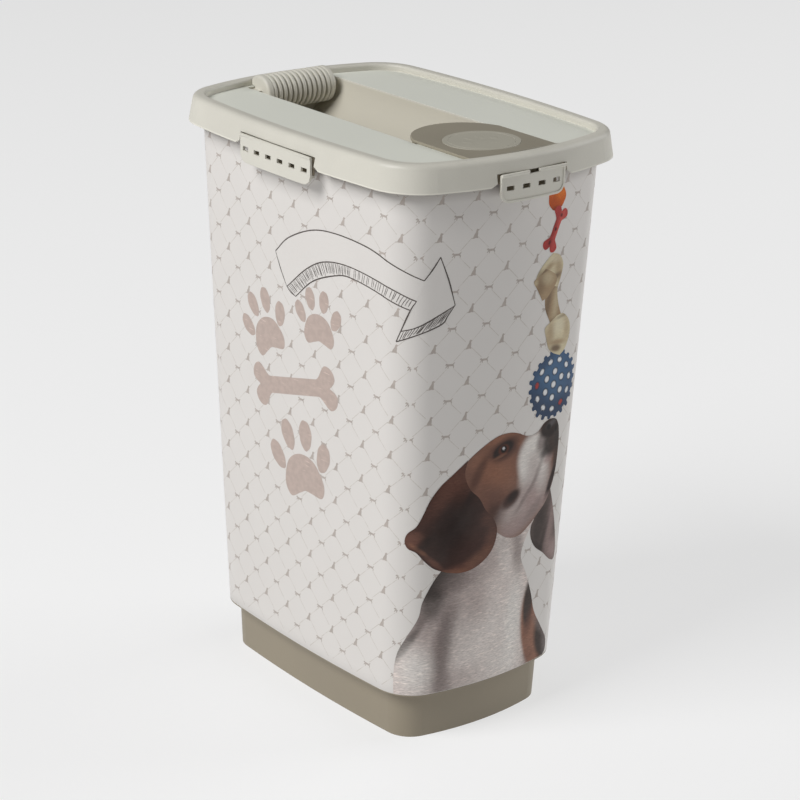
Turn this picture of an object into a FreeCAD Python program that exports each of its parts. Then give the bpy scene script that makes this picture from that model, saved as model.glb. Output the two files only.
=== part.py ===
"""Pet food bin: a tapered tub with a printed wrap and a lift-off lid.

The lid carries a ribbed grip, a rocking pour flap with an oval badge, a seal and four clip
latches that hook under the tub's rim.

Frame: the origin is on the floor under the middle of the bin, +Z is up, +Y points to the
grip and -Y to the pour flap. Every length is in millimetres.
"""

import FreeCAD
import Part

import math
import os
from collections import namedtuple

# --- Driving dimensions -------------------------------------------------------------------

# Lid, seen from above at the lower edge of its skirt
lip_length = 408.0
lip_width = 296.0
lip_corner_radius = 54.7
lip_side_bow_radius = 1469.0
lip_end_bow_radius = 354.0

# Heights above the floor
rim_height = 600.0
skirt_height = 26.5
base_band_height = 51.3

# Lid shell
skirt_flare = 4.8
lid_wall = 2.5
crown_width = 12.5
crown_outer_round = 6.0
crown_inner_round = 3.0
crown_lean = 1.2
panel_depth = 7.0
seal_land_width = 6.6

# Tub
tub_wall = 2.4
tub_to_lip_gap = 14.8
wall_taper_x = 24.0
wall_taper_y = 20.0
wall_foot_corner_radius = 41.6
wall_foot_side_bow_radius = 1748.0
wall_foot_end_bow_radius = 325.0
rim_drop = 12.0
flange_reach = 7.6
flange_thickness = 3.0
flange_lip_height = 12.0
flange_lip_thickness = 2.2
catch_drop = 10.0
catch_end_margin = 5.0
base_step = 11.0
base_draft = 2.5
base_floor = 3.0
foot_height = 5.0
foot_width = 7.0
floor_rib_thickness = 2.0
floor_rib_pitch = 44.0
foot_rib_gap = 1.0

# Printed wrap, a film moulded into the outside of the wall
wrap_thickness = 0.4
wrap_top_gap = 4.0
wrap_foot_margin = 1.2

# Seal and plug rib under the lid
seal_width = 6.0
seal_clearance = 0.2
plug_rib_clearance = 0.5
plug_rib_thickness = 2.0
plug_rib_height = 14.5

# Trough across the lid, half-round, with its open end under the flap's tongue
trough_half_width = 53.0
trough_depth = 44.0
trough_wall = 2.5
trough_front_step = 5.5
trough_to_tub_gap = 1.6

# Pour opening in front of the trough
opening_half_width = 45.0
opening_front_margin = 9.0
opening_corner_radius = 8.0
neck_thickness = 2.0
neck_height = 7.0

# Pour flap
flap_length = 96.7
flap_hinge_drop = 10.5
flap_tongue_reach = 37.0
flap_side_clearance = 1.0
flap_front_clearance = 0.9
flap_lift = 0.2
flap_height = 2.6
flap_apron_length = 14.0
flap_apron_rise = 3.6
flap_edge_round = 0.8
flap_plug_clearance = 1.0
flap_plug_thickness = 2.0
flap_plug_depth = 6.0
trunnion_radius = 2.5
trunnion_clearance = 0.06
trunnion_length = 6.0
trunnion_end_gap = 0.6
lug_thickness = 3.5
lug_radius = 4.4
lug_side_clearance = 2.6
socket_wall = 2.6
socket_block_depth = 9.0

# Badge set in the flap
badge_half_x = 39.0
badge_half_y = 35.0
badge_setback = 37.0
badge_thickness = 1.4
badge_stand = 0.4
badge_round = 0.3

# Grip
grip_back_gap = 14.7
grip_drop = 13.0
grip_radius = 18.6
grip_end_gap = 10.0
grip_core_radius = 13.4
grip_seat_clearance = 0.3
grip_rib_count = 12
grip_rib_thickness = 3.9
grip_rib_round = 1.3
grip_cap_length = 7.0
grip_cap_round = 3.2
tenon_half_y = 6.0
tenon_half_z = 4.0
tenon_grip = 3.0
tenon_clearance = 0.1

# Clip latches
side_latch_width = 112.0
end_latch_width = 78.0
latch_hinge_drop = 16.2
latch_height = 26.3
latch_thickness = 2.4
latch_bead_radius = 1.6
side_latch_proud = 0.8
end_latch_proud = 0.3
latch_corner_radius = 10.0
latch_side_gap = 3.5
latch_top_gap = 0.12
latch_notch_flare = 7.0
latch_notch_flare_height = 3.5
side_window_count = 6
end_window_count = 4
window_pitch = 18.7
window_width = 8.8
window_height = 4.4
window_drop = 12.6
hook_thickness = 2.4
hook_clearance = 0.6
end_slot_width = 12.5
end_slot_height = 3.4
end_latch_border = 2.2
end_latch_border_depth = 0.7

# Room that a cutting shape runs past the face it opens
past = 5.0
# Least length that counts as one when edges are told apart
hair = 0.002
# Height under the top face within which an edge counts as being on top
top_band = 1.0

# --- Plan outlines ------------------------------------------------------------------------

# An outline has two bowed long sides, two bowed ends and four corner arcs, all tangent
Plan = namedtuple("Plan", "half_x half_y corner side_bow end_bow")


def offset(plan, distance):
    """The outline parallel to plan, distance outside it (or inside, if negative)."""
    return Plan(*(value + distance for value in plan))


def between(low, high, share):
    """The outline a share of the way from low to high."""
    return Plan(*(a + share * (b - a) for a, b in zip(low, high)))


def outline(plan, z):
    """Closed wire of the eight tangent arcs of plan at height z."""
    side_centre = FreeCAD.Vector(plan.half_x - plan.side_bow, 0, z)
    end_centre = FreeCAD.Vector(0, plan.half_y - plan.end_bow, z)
    side_reach = plan.side_bow - plan.corner
    end_reach = plan.end_bow - plan.corner
    apart = end_centre - side_centre
    along = (side_reach**2 - end_reach**2 + apart.Length**2) / (2 * apart.Length)
    across = math.sqrt(side_reach**2 - along**2)
    direction = FreeCAD.Vector(apart).normalize()
    corner_centre = side_centre + direction * along
    corner_centre += FreeCAD.Vector(-direction.y, direction.x, 0) * across * math.copysign(
        1, direction.x * plan.half_y - direction.y * plan.half_x
    )
    to_side = (corner_centre - side_centre).normalize()
    to_end = (corner_centre - end_centre).normalize()
    side_tangent = side_centre + to_side * plan.side_bow
    end_tangent = end_centre + to_end * plan.end_bow
    corner_mid = corner_centre + (to_side + to_end).normalize() * plan.corner

    def at(point, flip_x, flip_y):
        return FreeCAD.Vector(flip_x * point.x, flip_y * point.y, z)

    side_mid = FreeCAD.Vector(plan.half_x, 0, z)
    end_mid = FreeCAD.Vector(0, plan.half_y, z)
    arcs = [
        (at(side_tangent, 1, -1), side_mid, at(side_tangent, 1, 1)),
        (at(side_tangent, 1, 1), corner_mid, at(end_tangent, 1, 1)),
        (at(end_tangent, 1, 1), end_mid, at(end_tangent, -1, 1)),
        (at(end_tangent, -1, 1), at(corner_mid, -1, 1), at(side_tangent, -1, 1)),
        (at(side_tangent, -1, 1), at(side_mid, -1, 1), at(side_tangent, -1, -1)),
        (at(side_tangent, -1, -1), at(corner_mid, -1, -1), at(end_tangent, -1, -1)),
        (at(end_tangent, -1, -1), at(end_mid, 1, -1), at(end_tangent, 1, -1)),
        (at(end_tangent, 1, -1), at(corner_mid, 1, -1), at(side_tangent, 1, -1)),
    ]
    return Part.Wire([Part.Arc(*points).toShape() for points in arcs])


def loft(low, low_z, high, high_z):
    """Solid between outline low at low_z and outline high at high_z."""
    return Part.makeLoft([outline(low, low_z), outline(high, high_z)], True, True)


def prism(plan, low_z, high_z):
    """Upright solid of outline plan."""
    return loft(plan, low_z, plan, high_z)


def box(low, high):
    """Box from its low corner to its high corner."""
    size = [b - a for a, b in zip(low, high)]
    return Part.makeBox(*size, FreeCAD.Vector(*low))


def rod(start, end, radius):
    """Round rod from start to end."""
    way = FreeCAD.Vector(*end) - FreeCAD.Vector(*start)
    return Part.makeCylinder(radius, way.Length, FreeCAD.Vector(*start), way)


def rounded(solid, radius, wanted):
    """Solid with the edges that wanted picks rounded to radius."""
    return solid.makeFillet(radius, [edge for edge in solid.Edges if wanted(edge)])


def upright_corners(solid, radius):
    """Solid with its vertical edges rounded."""

    def upright(edge):
        size = edge.BoundBox
        return size.ZLength > 0 and max(size.XLength, size.YLength) < hair

    return rounded(solid, radius, upright)


def one_solid(shape):
    """The only solid in a shape, with its seams merged."""
    merged = shape.removeSplitter()
    return merged.Solids[0] if len(merged.Solids) == 1 else merged


# --- Shared heights and outlines ------------------------------------------------------------

lip_z = rim_height - skirt_height
panel_z = rim_height - panel_depth
panel_under_z = panel_z - lid_wall
tub_rim_z = rim_height - rim_drop
flange_lip_z = tub_rim_z - flange_lip_height
catch_z = flange_lip_z - catch_drop
latch_axis_z = rim_height - latch_hinge_drop
flap_under_z = panel_z + flap_lift
flap_top_z = flap_under_z + flap_height
flap_axis_z = rim_height - flap_hinge_drop
grip_z = rim_height - grip_drop
grip_length = 2 * (trough_half_width - grip_end_gap)
tenon_length = grip_end_gap + tenon_grip

lip_plan = Plan(
    lip_width / 2, lip_length / 2, lip_corner_radius, lip_side_bow_radius, lip_end_bow_radius
)
rim_plan = offset(lip_plan, -skirt_flare)
pocket_plan = offset(rim_plan, -crown_width)
wall_lip_plan = offset(lip_plan, -tub_to_lip_gap)
wall_foot_plan = Plan(
    wall_lip_plan.half_x - wall_taper_x,
    wall_lip_plan.half_y - wall_taper_y,
    wall_foot_corner_radius,
    wall_foot_side_bow_radius,
    wall_foot_end_bow_radius,
)
base_top_plan = offset(wall_foot_plan, -base_step)
base_foot_plan = offset(base_top_plan, -base_draft)

flap_hinge_y = flap_length - pocket_plan.half_y
trough_front_y = flap_hinge_y - trough_front_step
badge_centre_y = flap_hinge_y - badge_setback
grip_y = pocket_plan.half_y - grip_back_gap


def wall_plan(z):
    """Outline of the outside of the tub's wall at height z."""
    share = (z - base_band_height) / (lip_z - base_band_height)
    return between(wall_foot_plan, wall_lip_plan, share)


def skirt_plan(z):
    """Outline of the outside of the lid's skirt at height z."""
    return between(lip_plan, rim_plan, (z - lip_z) / skirt_height)


# --- Places of the latches ------------------------------------------------------------------


def latch_places():
    """Each latch's name, width, outward direction and turn about Z from the +X side."""
    return [
        ("right", side_latch_width, 0),
        ("back", end_latch_width, 90),
        ("left", side_latch_width, 180),
        ("front", end_latch_width, 270),
    ]


def turned(shape, angle):
    """Copy of shape turned about the bin's upright axis."""
    copy = shape.copy()
    copy.rotate(FreeCAD.Vector(0, 0, 0), FreeCAD.Vector(0, 0, 1), angle)
    return copy


# --- Tub ----------------------------------------------------------------------------------


def wall_loft(inset, low_z, high_z):
    """Solid inside the tub's tapered wall, inset from its outside."""
    return loft(offset(wall_plan(low_z), -inset), low_z, offset(wall_plan(high_z), -inset), high_z)


def make_tub():
    """Tub with a stepped base band, a ribbed underside and a flange with a hanging lip, which
    hangs lower behind each latch for its hooks to catch.
    """
    wrap_top_z = flange_lip_z - wrap_top_gap
    wrap_foot_z = base_band_height + wrap_foot_margin
    body = wall_loft(wrap_thickness, wrap_foot_z, wrap_top_z)
    body = body.fuse(wall_loft(0, base_band_height, wrap_foot_z))
    body = body.fuse(wall_loft(0, wrap_top_z, tub_rim_z))
    body = body.fuse(loft(base_foot_plan, 0, base_top_plan, base_band_height))

    rim = wall_plan(tub_rim_z)
    flange = prism(offset(rim, flange_reach), flange_lip_z, tub_rim_z)
    under = prism(
        offset(rim, flange_reach - flange_lip_thickness),
        flange_lip_z - past,
        tub_rim_z - flange_thickness,
    )
    body = body.fuse(flange.cut(under))
    catches = prism(offset(rim, flange_reach), catch_z, flange_lip_z)
    catches = catches.cut(
        prism(offset(rim, flange_reach - flange_lip_thickness), catch_z - past, flange_lip_z + past)
    )
    for _, width, angle in latch_places():
        half = width / 2 - catch_end_margin
        window = box((0, -half, catch_z), (lip_length, half, flange_lip_z))
        body = body.fuse(catches.common(turned(window, angle)))

    step_top_z = base_band_height + tub_wall
    base_inner_foot = offset(base_foot_plan, -tub_wall)
    base_inner_top = offset(base_top_plan, -tub_wall)
    floor_z = foot_height + base_floor
    body = body.cut(wall_loft(tub_wall, step_top_z, tub_rim_z + past))
    body = body.cut(loft(base_inner_foot, floor_z, base_inner_top, step_top_z + past))

    recess_plan = offset(base_foot_plan, -foot_width)
    recess = prism(recess_plan, -past, foot_height)
    rib_count = int(recess_plan.half_y // floor_rib_pitch)
    for index in range(-rib_count, rib_count + 1):
        y = index * floor_rib_pitch
        half = floor_rib_thickness / 2
        reach = lip_width / 2
        recess = recess.cut(box((-reach, y - half, foot_rib_gap), (reach, y + half, foot_height)))
    half = floor_rib_thickness / 2
    reach = lip_length / 2
    recess = recess.cut(box((-half, -reach, foot_rib_gap), (half, reach, foot_height)))
    return one_solid(body.cut(recess))


def make_wall_wrap():
    """Printed film on the outside of the tub's wall."""
    top_z = flange_lip_z - wrap_top_gap
    foot_z = base_band_height + wrap_foot_margin
    inside = wall_loft(wrap_thickness, foot_z, top_z)
    return wall_loft(0, foot_z, top_z).cut(inside)


# --- Lid ----------------------------------------------------------------------------------

trough_radius = (trough_half_width**2 + trough_depth**2) / (2 * trough_depth)
trough_axis_z = panel_z - trough_depth + trough_radius
opening_front_y = opening_front_margin - pocket_plan.half_y
opening_rear_y = trough_front_y - trough_wall
socket_half = trunnion_radius + socket_wall
trough_low_z = panel_z - trough_depth - trough_wall
trough_outer_plan = offset(wall_plan(trough_low_z), -tub_wall - trough_to_tub_gap)
trough_inner_plan = offset(trough_outer_plan, -trough_wall)


def half_pipe(radius, front_y, rear_y):
    """Round bar along the trough, kept below the panel."""
    bar = rod((0, front_y, trough_axis_z), (0, rear_y, trough_axis_z), radius)
    above = box((-radius, front_y - past, panel_z), (radius, rear_y + past, panel_z + 2 * radius))
    return bar.cut(above)


def pour_opening(margin, low_z, high_z):
    """Upright block of the pour opening, margin wider all round."""
    block = box(
        (-opening_half_width - margin, opening_front_y - margin, low_z),
        (opening_half_width + margin, opening_rear_y + margin, high_z),
    )
    return upright_corners(block, opening_corner_radius + margin)


def lid_shell():
    """Skirt, round crown and sunken panel, open below."""
    shell = loft(lip_plan, lip_z, rim_plan, rim_height)
    shell = rounded(
        shell, crown_outer_round, lambda edge: edge.BoundBox.ZMin > rim_height - top_band
    )
    shell = shell.cut(prism(pocket_plan, panel_z, rim_height + past))

    def inner_top(edge):
        size = edge.BoundBox
        at_top = size.ZMin > rim_height - top_band
        within_x = size.XMax < pocket_plan.half_x + crown_inner_round
        within_y = size.YMax < pocket_plan.half_y + crown_inner_round
        return at_top and within_x and within_y

    shell = rounded(shell, crown_inner_round, inner_top)
    land_plan = offset(pocket_plan, seal_land_width)
    under_skirt = loft(
        offset(skirt_plan(lip_z - past), -lid_wall),
        lip_z - past,
        offset(skirt_plan(panel_under_z), -lid_wall),
        panel_under_z,
    )
    under_crown = loft(
        offset(skirt_plan(panel_under_z), -lid_wall),
        panel_under_z,
        offset(rim_plan, -lid_wall - crown_lean),
        rim_height - lid_wall,
    )
    under_crown = under_crown.cut(prism(land_plan, panel_under_z - past, rim_height))
    return shell.cut(under_skirt).cut(under_crown)


def plug_rib():
    """Rib that drops inside the tub's rim and centres the lid."""
    outer = offset(wall_plan(tub_rim_z - plug_rib_height), -tub_wall - plug_rib_clearance)
    ring = prism(outer, panel_under_z - plug_rib_height, panel_under_z)
    inner = offset(outer, -plug_rib_thickness)
    return ring.cut(prism(inner, panel_under_z - plug_rib_height - past, panel_under_z + past))


def grip_sockets(clearance, end_x, half_y, half_z):
    """Blocks on both sides of the trough around the grip's tenons."""
    blocks = []
    for side in (-1, 1):
        near = side * grip_length / 2
        far = side * end_x
        low = (min(near, far), grip_y - half_y - clearance, grip_z - half_z - clearance)
        high = (max(near, far), grip_y + half_y + clearance, grip_z + half_z + clearance)
        blocks.append(box(low, high))
    return blocks


def latch_notch(width, reach):
    """Cut for one latch in a skirt that faces +X and reaches out to reach."""
    half = width / 2 + latch_side_gap
    top_z = latch_axis_z + latch_bead_radius + latch_top_gap
    depth = tub_to_lip_gap
    low_z = lip_z - past
    flare_top_z = lip_z + latch_notch_flare_height
    profile = [
        (half, top_z),
        (half, flare_top_z),
        (half + latch_notch_flare, lip_z),
        (half + latch_notch_flare, low_z),
    ]
    points = [FreeCAD.Vector(reach - depth, y, z) for y, z in profile]
    points += [FreeCAD.Vector(reach - depth, -y, z) for y, z in reversed(profile)]
    face = Part.Face(Part.makePolygon(points + points[:1]))
    return face.extrude(FreeCAD.Vector(depth + past, 0, 0))


def make_lid():
    """Lid moulding: shell, trough, pour opening with its neck, plug rib and sockets."""
    rear_y = pocket_plan.half_y
    shell = lid_shell()
    outer_limit = prism(trough_outer_plan, 0, rim_height)
    inner_limit = prism(trough_inner_plan, 0, rim_height)
    outer_trough = half_pipe(trough_radius + trough_wall, opening_rear_y, rear_y)
    shell = shell.fuse(outer_trough.common(outer_limit))
    shell = shell.fuse(plug_rib())
    neck = pour_opening(neck_thickness, panel_under_z - neck_height, panel_under_z)
    shell = shell.fuse(neck)

    block_end_x = trough_half_width + socket_block_depth
    for block in grip_sockets(lid_wall, block_end_x, tenon_half_y, tenon_half_z):
        block = block.common(outer_limit)
        shell = shell.fuse(block.common(prism(pocket_plan, 0, panel_z - lid_wall / 2)))
    for side in (-1, 1):
        near = side * (trough_half_width - lid_wall)
        far = side * (trough_half_width + socket_block_depth)
        block = box(
            (min(near, far), flap_hinge_y - socket_half, flap_axis_z - socket_half),
            (max(near, far), flap_hinge_y + socket_half, panel_z - lid_wall / 2),
        )
        shell = shell.fuse(block)

    shell = shell.cut(half_pipe(trough_radius, trough_front_y, rear_y).common(inner_limit))
    shell = shell.cut(pour_opening(0, panel_under_z - neck_height - past, panel_z + past))
    tenon_end_x = grip_length / 2 + tenon_length + tenon_clearance
    for hole in grip_sockets(tenon_clearance, tenon_end_x, tenon_half_y, tenon_half_z):
        shell = shell.cut(hole)
    hole_end_x = trunnion_start_x + trunnion_length + trunnion_end_gap
    hole = rod(
        (-hole_end_x, flap_hinge_y, flap_axis_z),
        (hole_end_x, flap_hinge_y, flap_axis_z),
        trunnion_radius + trunnion_clearance,
    )
    shell = shell.cut(hole)

    for _, width, angle in latch_places():
        reach = lip_plan.half_x if angle % 180 == 0 else lip_plan.half_y
        shell = shell.cut(turned(latch_notch(width, reach), angle))
    return one_solid(shell)


def make_lid_seal():
    """Flat ring under the lid that the tub's rim presses on."""
    outer = offset(pocket_plan, seal_land_width - seal_clearance)
    inner = offset(outer, -seal_width)
    low_z = tub_rim_z + seal_clearance
    return prism(outer, low_z, panel_under_z).cut(prism(inner, low_z - past, rim_height))


# --- Pour flap ----------------------------------------------------------------------------

flap_half_width = trough_half_width - flap_side_clearance
trunnion_start_x = trough_half_width - lug_side_clearance


def flap_outline_block(inset, low_z, high_z):
    """Upright block of the flap's outline, inset from its edge all round."""
    half = flap_half_width - inset
    reach = flap_tongue_reach - inset
    corner_y = flap_hinge_y
    front_y = -pocket_plan.half_y - past
    left = FreeCAD.Vector(-half, corner_y, low_z)
    right = FreeCAD.Vector(half, corner_y, low_z)
    tip = FreeCAD.Vector(0, corner_y + reach, low_z)
    front_left = FreeCAD.Vector(-half, front_y, low_z)
    front_right = FreeCAD.Vector(half, front_y, low_z)
    edges = [
        Part.Arc(right, tip, left).toShape(),
        Part.LineSegment(left, front_left).toShape(),
        Part.LineSegment(front_left, front_right).toShape(),
        Part.LineSegment(front_right, right).toShape(),
    ]
    block = Part.Face(Part.Wire(edges)).extrude(FreeCAD.Vector(0, 0, high_z - low_z))
    limit = offset(pocket_plan, -flap_front_clearance - inset)
    return block.common(prism(limit, low_z - past, high_z + past))


def apron():
    """Wedge on the flap's front, whose top slopes up to the rim as a finger lift."""
    front_y = -pocket_plan.half_y
    points = [
        FreeCAD.Vector(-lip_width, front_y + flap_apron_length, flap_top_z),
        FreeCAD.Vector(-lip_width, front_y, flap_top_z + flap_apron_rise),
        FreeCAD.Vector(-lip_width, front_y, flap_under_z),
        FreeCAD.Vector(-lip_width, front_y + flap_apron_length, flap_under_z),
    ]
    face = Part.Face(Part.makePolygon(points + points[:1]))
    wedge = face.extrude(FreeCAD.Vector(2 * lip_width, 0, 0))
    return wedge.common(flap_outline_block(0, flap_under_z, rim_height))


def badge_block(margin, low_z, high_z):
    """Upright oval block of the badge, margin larger all round."""
    centre = FreeCAD.Vector(0, badge_centre_y, low_z)
    oval = Part.Ellipse(centre, badge_half_x + margin, badge_half_y + margin)
    face = Part.Face(Part.Wire([oval.toShape()]))
    return face.extrude(FreeCAD.Vector(0, 0, high_z - low_z))


def make_pour_flap():
    """Rocking flap: plate with a raised front and a plug rib, tongue, two lugs with trunnions."""
    flap = flap_outline_block(0, flap_under_z, flap_top_z)
    flap = rounded(
        flap,
        flap_edge_round,
        lambda edge: edge.BoundBox.ZMin > flap_under_z + flap_lift
        and edge.BoundBox.YMax > flap_hinge_y + flap_tongue_reach / 2,
    )
    flap = flap.fuse(apron())

    plug_low_z = flap_under_z - flap_plug_depth
    plug = pour_opening(-flap_plug_clearance, plug_low_z, flap_under_z + flap_lift)
    plug_inner = pour_opening(
        -flap_plug_clearance - flap_plug_thickness, plug_low_z - past, flap_under_z + past
    )
    flap = flap.fuse(plug.cut(plug_inner))

    for side in (-1, 1):
        inner_x = side * (trunnion_start_x - lug_thickness)
        outer_x = side * trunnion_start_x
        axis = (flap_hinge_y, flap_axis_z)
        lug = rod((inner_x, *axis), (outer_x, *axis), lug_radius)
        web = box(
            (min(inner_x, outer_x), flap_hinge_y - lug_radius, flap_axis_z),
            (max(inner_x, outer_x), flap_hinge_y + lug_radius, flap_under_z + flap_lift),
        )
        pin_end_x = side * (trunnion_start_x + trunnion_length)
        pin = rod((inner_x, *axis), (pin_end_x, *axis), trunnion_radius)
        flap = flap.fuse(lug).fuse(web).fuse(pin)

    badge_low_z = flap_top_z + badge_stand - badge_thickness
    flap = flap.cut(badge_block(0, badge_low_z, flap_top_z + past))
    return one_solid(flap)


def make_flap_badge():
    """Oval badge set in the flap's top."""
    low_z = flap_top_z + badge_stand - badge_thickness
    badge = badge_block(0, low_z, low_z + badge_thickness)
    return rounded(badge, badge_round, lambda edge: edge.BoundBox.ZMin > low_z + badge_round)


# --- Grip ---------------------------------------------------------------------------------


def grip_ribs():
    """Start and end of each full disc along the grip: a cap, the ribs and a cap."""
    half = grip_length / 2
    pitch = (grip_length - grip_cap_length) / (grip_rib_count + 1)
    first_x = -half + grip_cap_length / 2
    ribs = [(-half, -half + grip_cap_length)]
    for index in range(1, grip_rib_count + 1):
        middle = first_x + index * pitch
        ribs.append((middle - grip_rib_thickness / 2, middle + grip_rib_thickness / 2))
    return ribs + [(half - grip_cap_length, half)]


def disc(start_x, end_x, start_round, end_round):
    """Disc of the grip from start_x to end_x, turned from a profile with round corners."""
    start, end = FreeCAD.Vector(start_x, grip_y, grip_z), FreeCAD.Vector(end_x, grip_y, grip_z)
    plain = Part.makeCylinder(grip_radius, end_x - start_x, start, end - start)
    for centre, edge_round in ((start, start_round), (end, end_round)):
        rim = [
            edge for edge in plain.Edges
            if type(edge.Curve).__name__ == "Circle"
            and (edge.Curve.Center - centre).Length < edge_round / 2
        ]
        plain = plain.makeFillet(edge_round, rim)
    return plain


def make_grip():
    """Bar of round-edged ribs on a core, with a cap and a flat tenon at each end."""
    half = grip_length / 2
    core_start = (grip_cap_round - half, grip_y, grip_z)
    core_end = (half - grip_cap_round, grip_y, grip_z)
    pieces = [seated(rod(core_start, core_end, grip_core_radius), half)]
    for start_x, end_x in grip_ribs():
        start_round = grip_cap_round if start_x <= -half else grip_rib_round
        end_round = grip_cap_round if end_x >= half else grip_rib_round
        rib = disc(start_x, end_x, start_round, end_round)
        pieces.append(seated(rib, max(-start_x, end_x)))
    for side in (-1, 1):
        start_x = side * (half - grip_cap_length)
        end_x = side * (half + tenon_length)
        tenon = box(
            (min(start_x, end_x), grip_y - tenon_half_y, grip_z - tenon_half_z),
            (max(start_x, end_x), grip_y + tenon_half_y, grip_z + tenon_half_z),
        )
        pieces.append(tenon)
    return one_solid(pieces[0].fuse(pieces[1:]))


def end_depth(plan, x):
    """How far the bowed end of plan lies from the middle, at x."""
    return plan.half_y - plan.end_bow + (plan.end_bow**2 - x**2) ** 0.5


def seated(piece, reach):
    """Grip piece within reach of the middle, with room for the back wall, panel edge and crown."""
    low_z = grip_z - 2 * grip_radius
    panel_seat_z = panel_z + grip_seat_clearance
    crown_seat_z = rim_height + grip_seat_clearance
    ends = (
        (trough_inner_plan, low_z, panel_seat_z),
        (pocket_plan, panel_seat_z, crown_seat_z),
    )
    for plan, start_z, end_z in ends:
        back_y = end_depth(plan, reach) - grip_seat_clearance
        behind = box((-lip_width / 2, back_y, start_z), (lip_width / 2, lip_length, end_z))
        piece = piece.cut(behind)
    return piece


# --- Clip latches -------------------------------------------------------------------------


def latch_outline(width, inset, reach, depth):
    """Block of a latch's face shape, seen along +X, with round lower corners."""
    half = width / 2 - inset
    low_z = latch_axis_z - latch_height + inset
    block = box((reach - depth, -half, low_z), (reach + past, half, latch_axis_z))

    def lower_corner(edge):
        size = edge.BoundBox
        return size.XLength > depth and size.ZMax < low_z + top_band

    return rounded(block, latch_corner_radius - inset, lower_corner)


def make_latch(width, angle, window_count):
    """Clip latch: bowed plate with a hinge bead on top, a row of windows and hooks behind."""
    on_side = angle % 180 == 0
    proud = side_latch_proud if on_side else end_latch_proud
    face_plan = offset(lip_plan, proud)
    low_z = latch_axis_z - latch_height
    plate = prism(face_plan, low_z - past, latch_axis_z + past)
    plate = plate.cut(prism(offset(face_plan, -latch_thickness), low_z - 2 * past, rim_height))
    plate = turned(plate, -angle)
    reach = face_plan.half_x if on_side else face_plan.half_y
    depth = tub_to_lip_gap
    latch = plate.common(latch_outline(width, 0, reach, depth))

    if not on_side:
        field_low_z = low_z + end_latch_border
        field = prism(
            offset(face_plan, -end_latch_border_depth), field_low_z - past, rim_height
        )
        ring = turned(prism(offset(face_plan, past), low_z, rim_height).cut(field), -angle)
        inner = latch_outline(width, end_latch_border, reach, depth)
        latch = latch.cut(ring.common(inner))

    axis_x = latch_axis_reach(angle)
    bead = rod(
        (axis_x, -width / 2, latch_axis_z), (axis_x, width / 2, latch_axis_z), latch_bead_radius
    )
    latch = latch.fuse(bead)

    window_z = latch_axis_z - window_drop
    hook_top_z = catch_z - hook_clearance
    rim = wall_plan(tub_rim_z)
    rim_reach = rim.half_x if on_side else rim.half_y
    bow = rim.side_bow if on_side else rim.end_bow
    for index in range(window_count):
        y = (index - (window_count - 1) / 2) * window_pitch
        sagitta = bow - math.sqrt(bow**2 - y**2)
        tip_x = rim_reach + flange_reach - flange_lip_thickness - sagitta
        plate_x = reach - latch_thickness / 2 - sagitta
        latch = latch.cut(
            box(
                (reach - depth, y - window_width / 2, window_z - window_height / 2),
                (reach + past, y + window_width / 2, window_z + window_height / 2),
            )
        )
        latch = latch.fuse(
            box(
                (tip_x, y - window_width / 2, hook_top_z - hook_thickness),
                (plate_x, y + window_width / 2, hook_top_z),
            )
        )
    if not on_side:
        slot = box(
            (reach - depth, -end_slot_width / 2, latch_axis_z - end_slot_height / 2),
            (reach + past, end_slot_width / 2, latch_axis_z + latch_bead_radius + past),
        )
        latch = latch.cut(slot)
    return one_solid(turned(latch, angle))


def latch_axis_reach(angle):
    """Distance of a latch's hinge axis from the bin's upright axis."""
    if angle % 180 == 0:
        return lip_plan.half_x + side_latch_proud - latch_bead_radius
    return lip_plan.half_y - latch_bead_radius


def make_parts():
    """Every node's solid by name."""
    parts = {
        "tub": make_tub(),
        "wall_wrap": make_wall_wrap(),
        "lid": make_lid(),
        "lid_seal": make_lid_seal(),
        "pour_flap": make_pour_flap(),
        "flap_badge": make_flap_badge(),
        "grip": make_grip(),
    }
    for name, width, angle in latch_places():
        windows = side_window_count if angle % 180 == 0 else end_window_count
        parts[f"{name}_latch"] = make_latch(width, angle, windows)
    return parts


def main():
    os.makedirs("parts", exist_ok=True)
    for name, shape in make_parts().items():
        shape.exportStep(f"parts/{name}.step")
        size = shape.BoundBox
        print(
            f"{name:12s} solids {len(shape.Solids)} valid {shape.isValid()}"
            f" volume {shape.Volume / 1000:8.1f} cm3"
            f" X {size.XMin:7.1f} {size.XMax:7.1f} Y {size.YMin:7.1f} {size.YMax:7.1f}"
            f" Z {size.ZMin:6.1f} {size.ZMax:6.1f}"
        )
    for name, _, angle in latch_places():
        print(f"{name} latch axis at reach {latch_axis_reach(angle):.2f}, z {latch_axis_z:.2f}")
    print(f"flap axis at y {flap_hinge_y:.2f}, z {flap_axis_z:.2f}")


if __name__ == "__main__":
    main()
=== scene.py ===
"""Pet food bin: its printed film, the finish of every moulding, and the studio round it.

Lengths in the wall's own drawing are in millimetres: u runs round the wall to the right, seen
from outside, from the middle of the corner between the -X side and the -Y end, and z is the
height. Everything that goes into a mesh is in metres, in the frame's axes.
"""

import math

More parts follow.
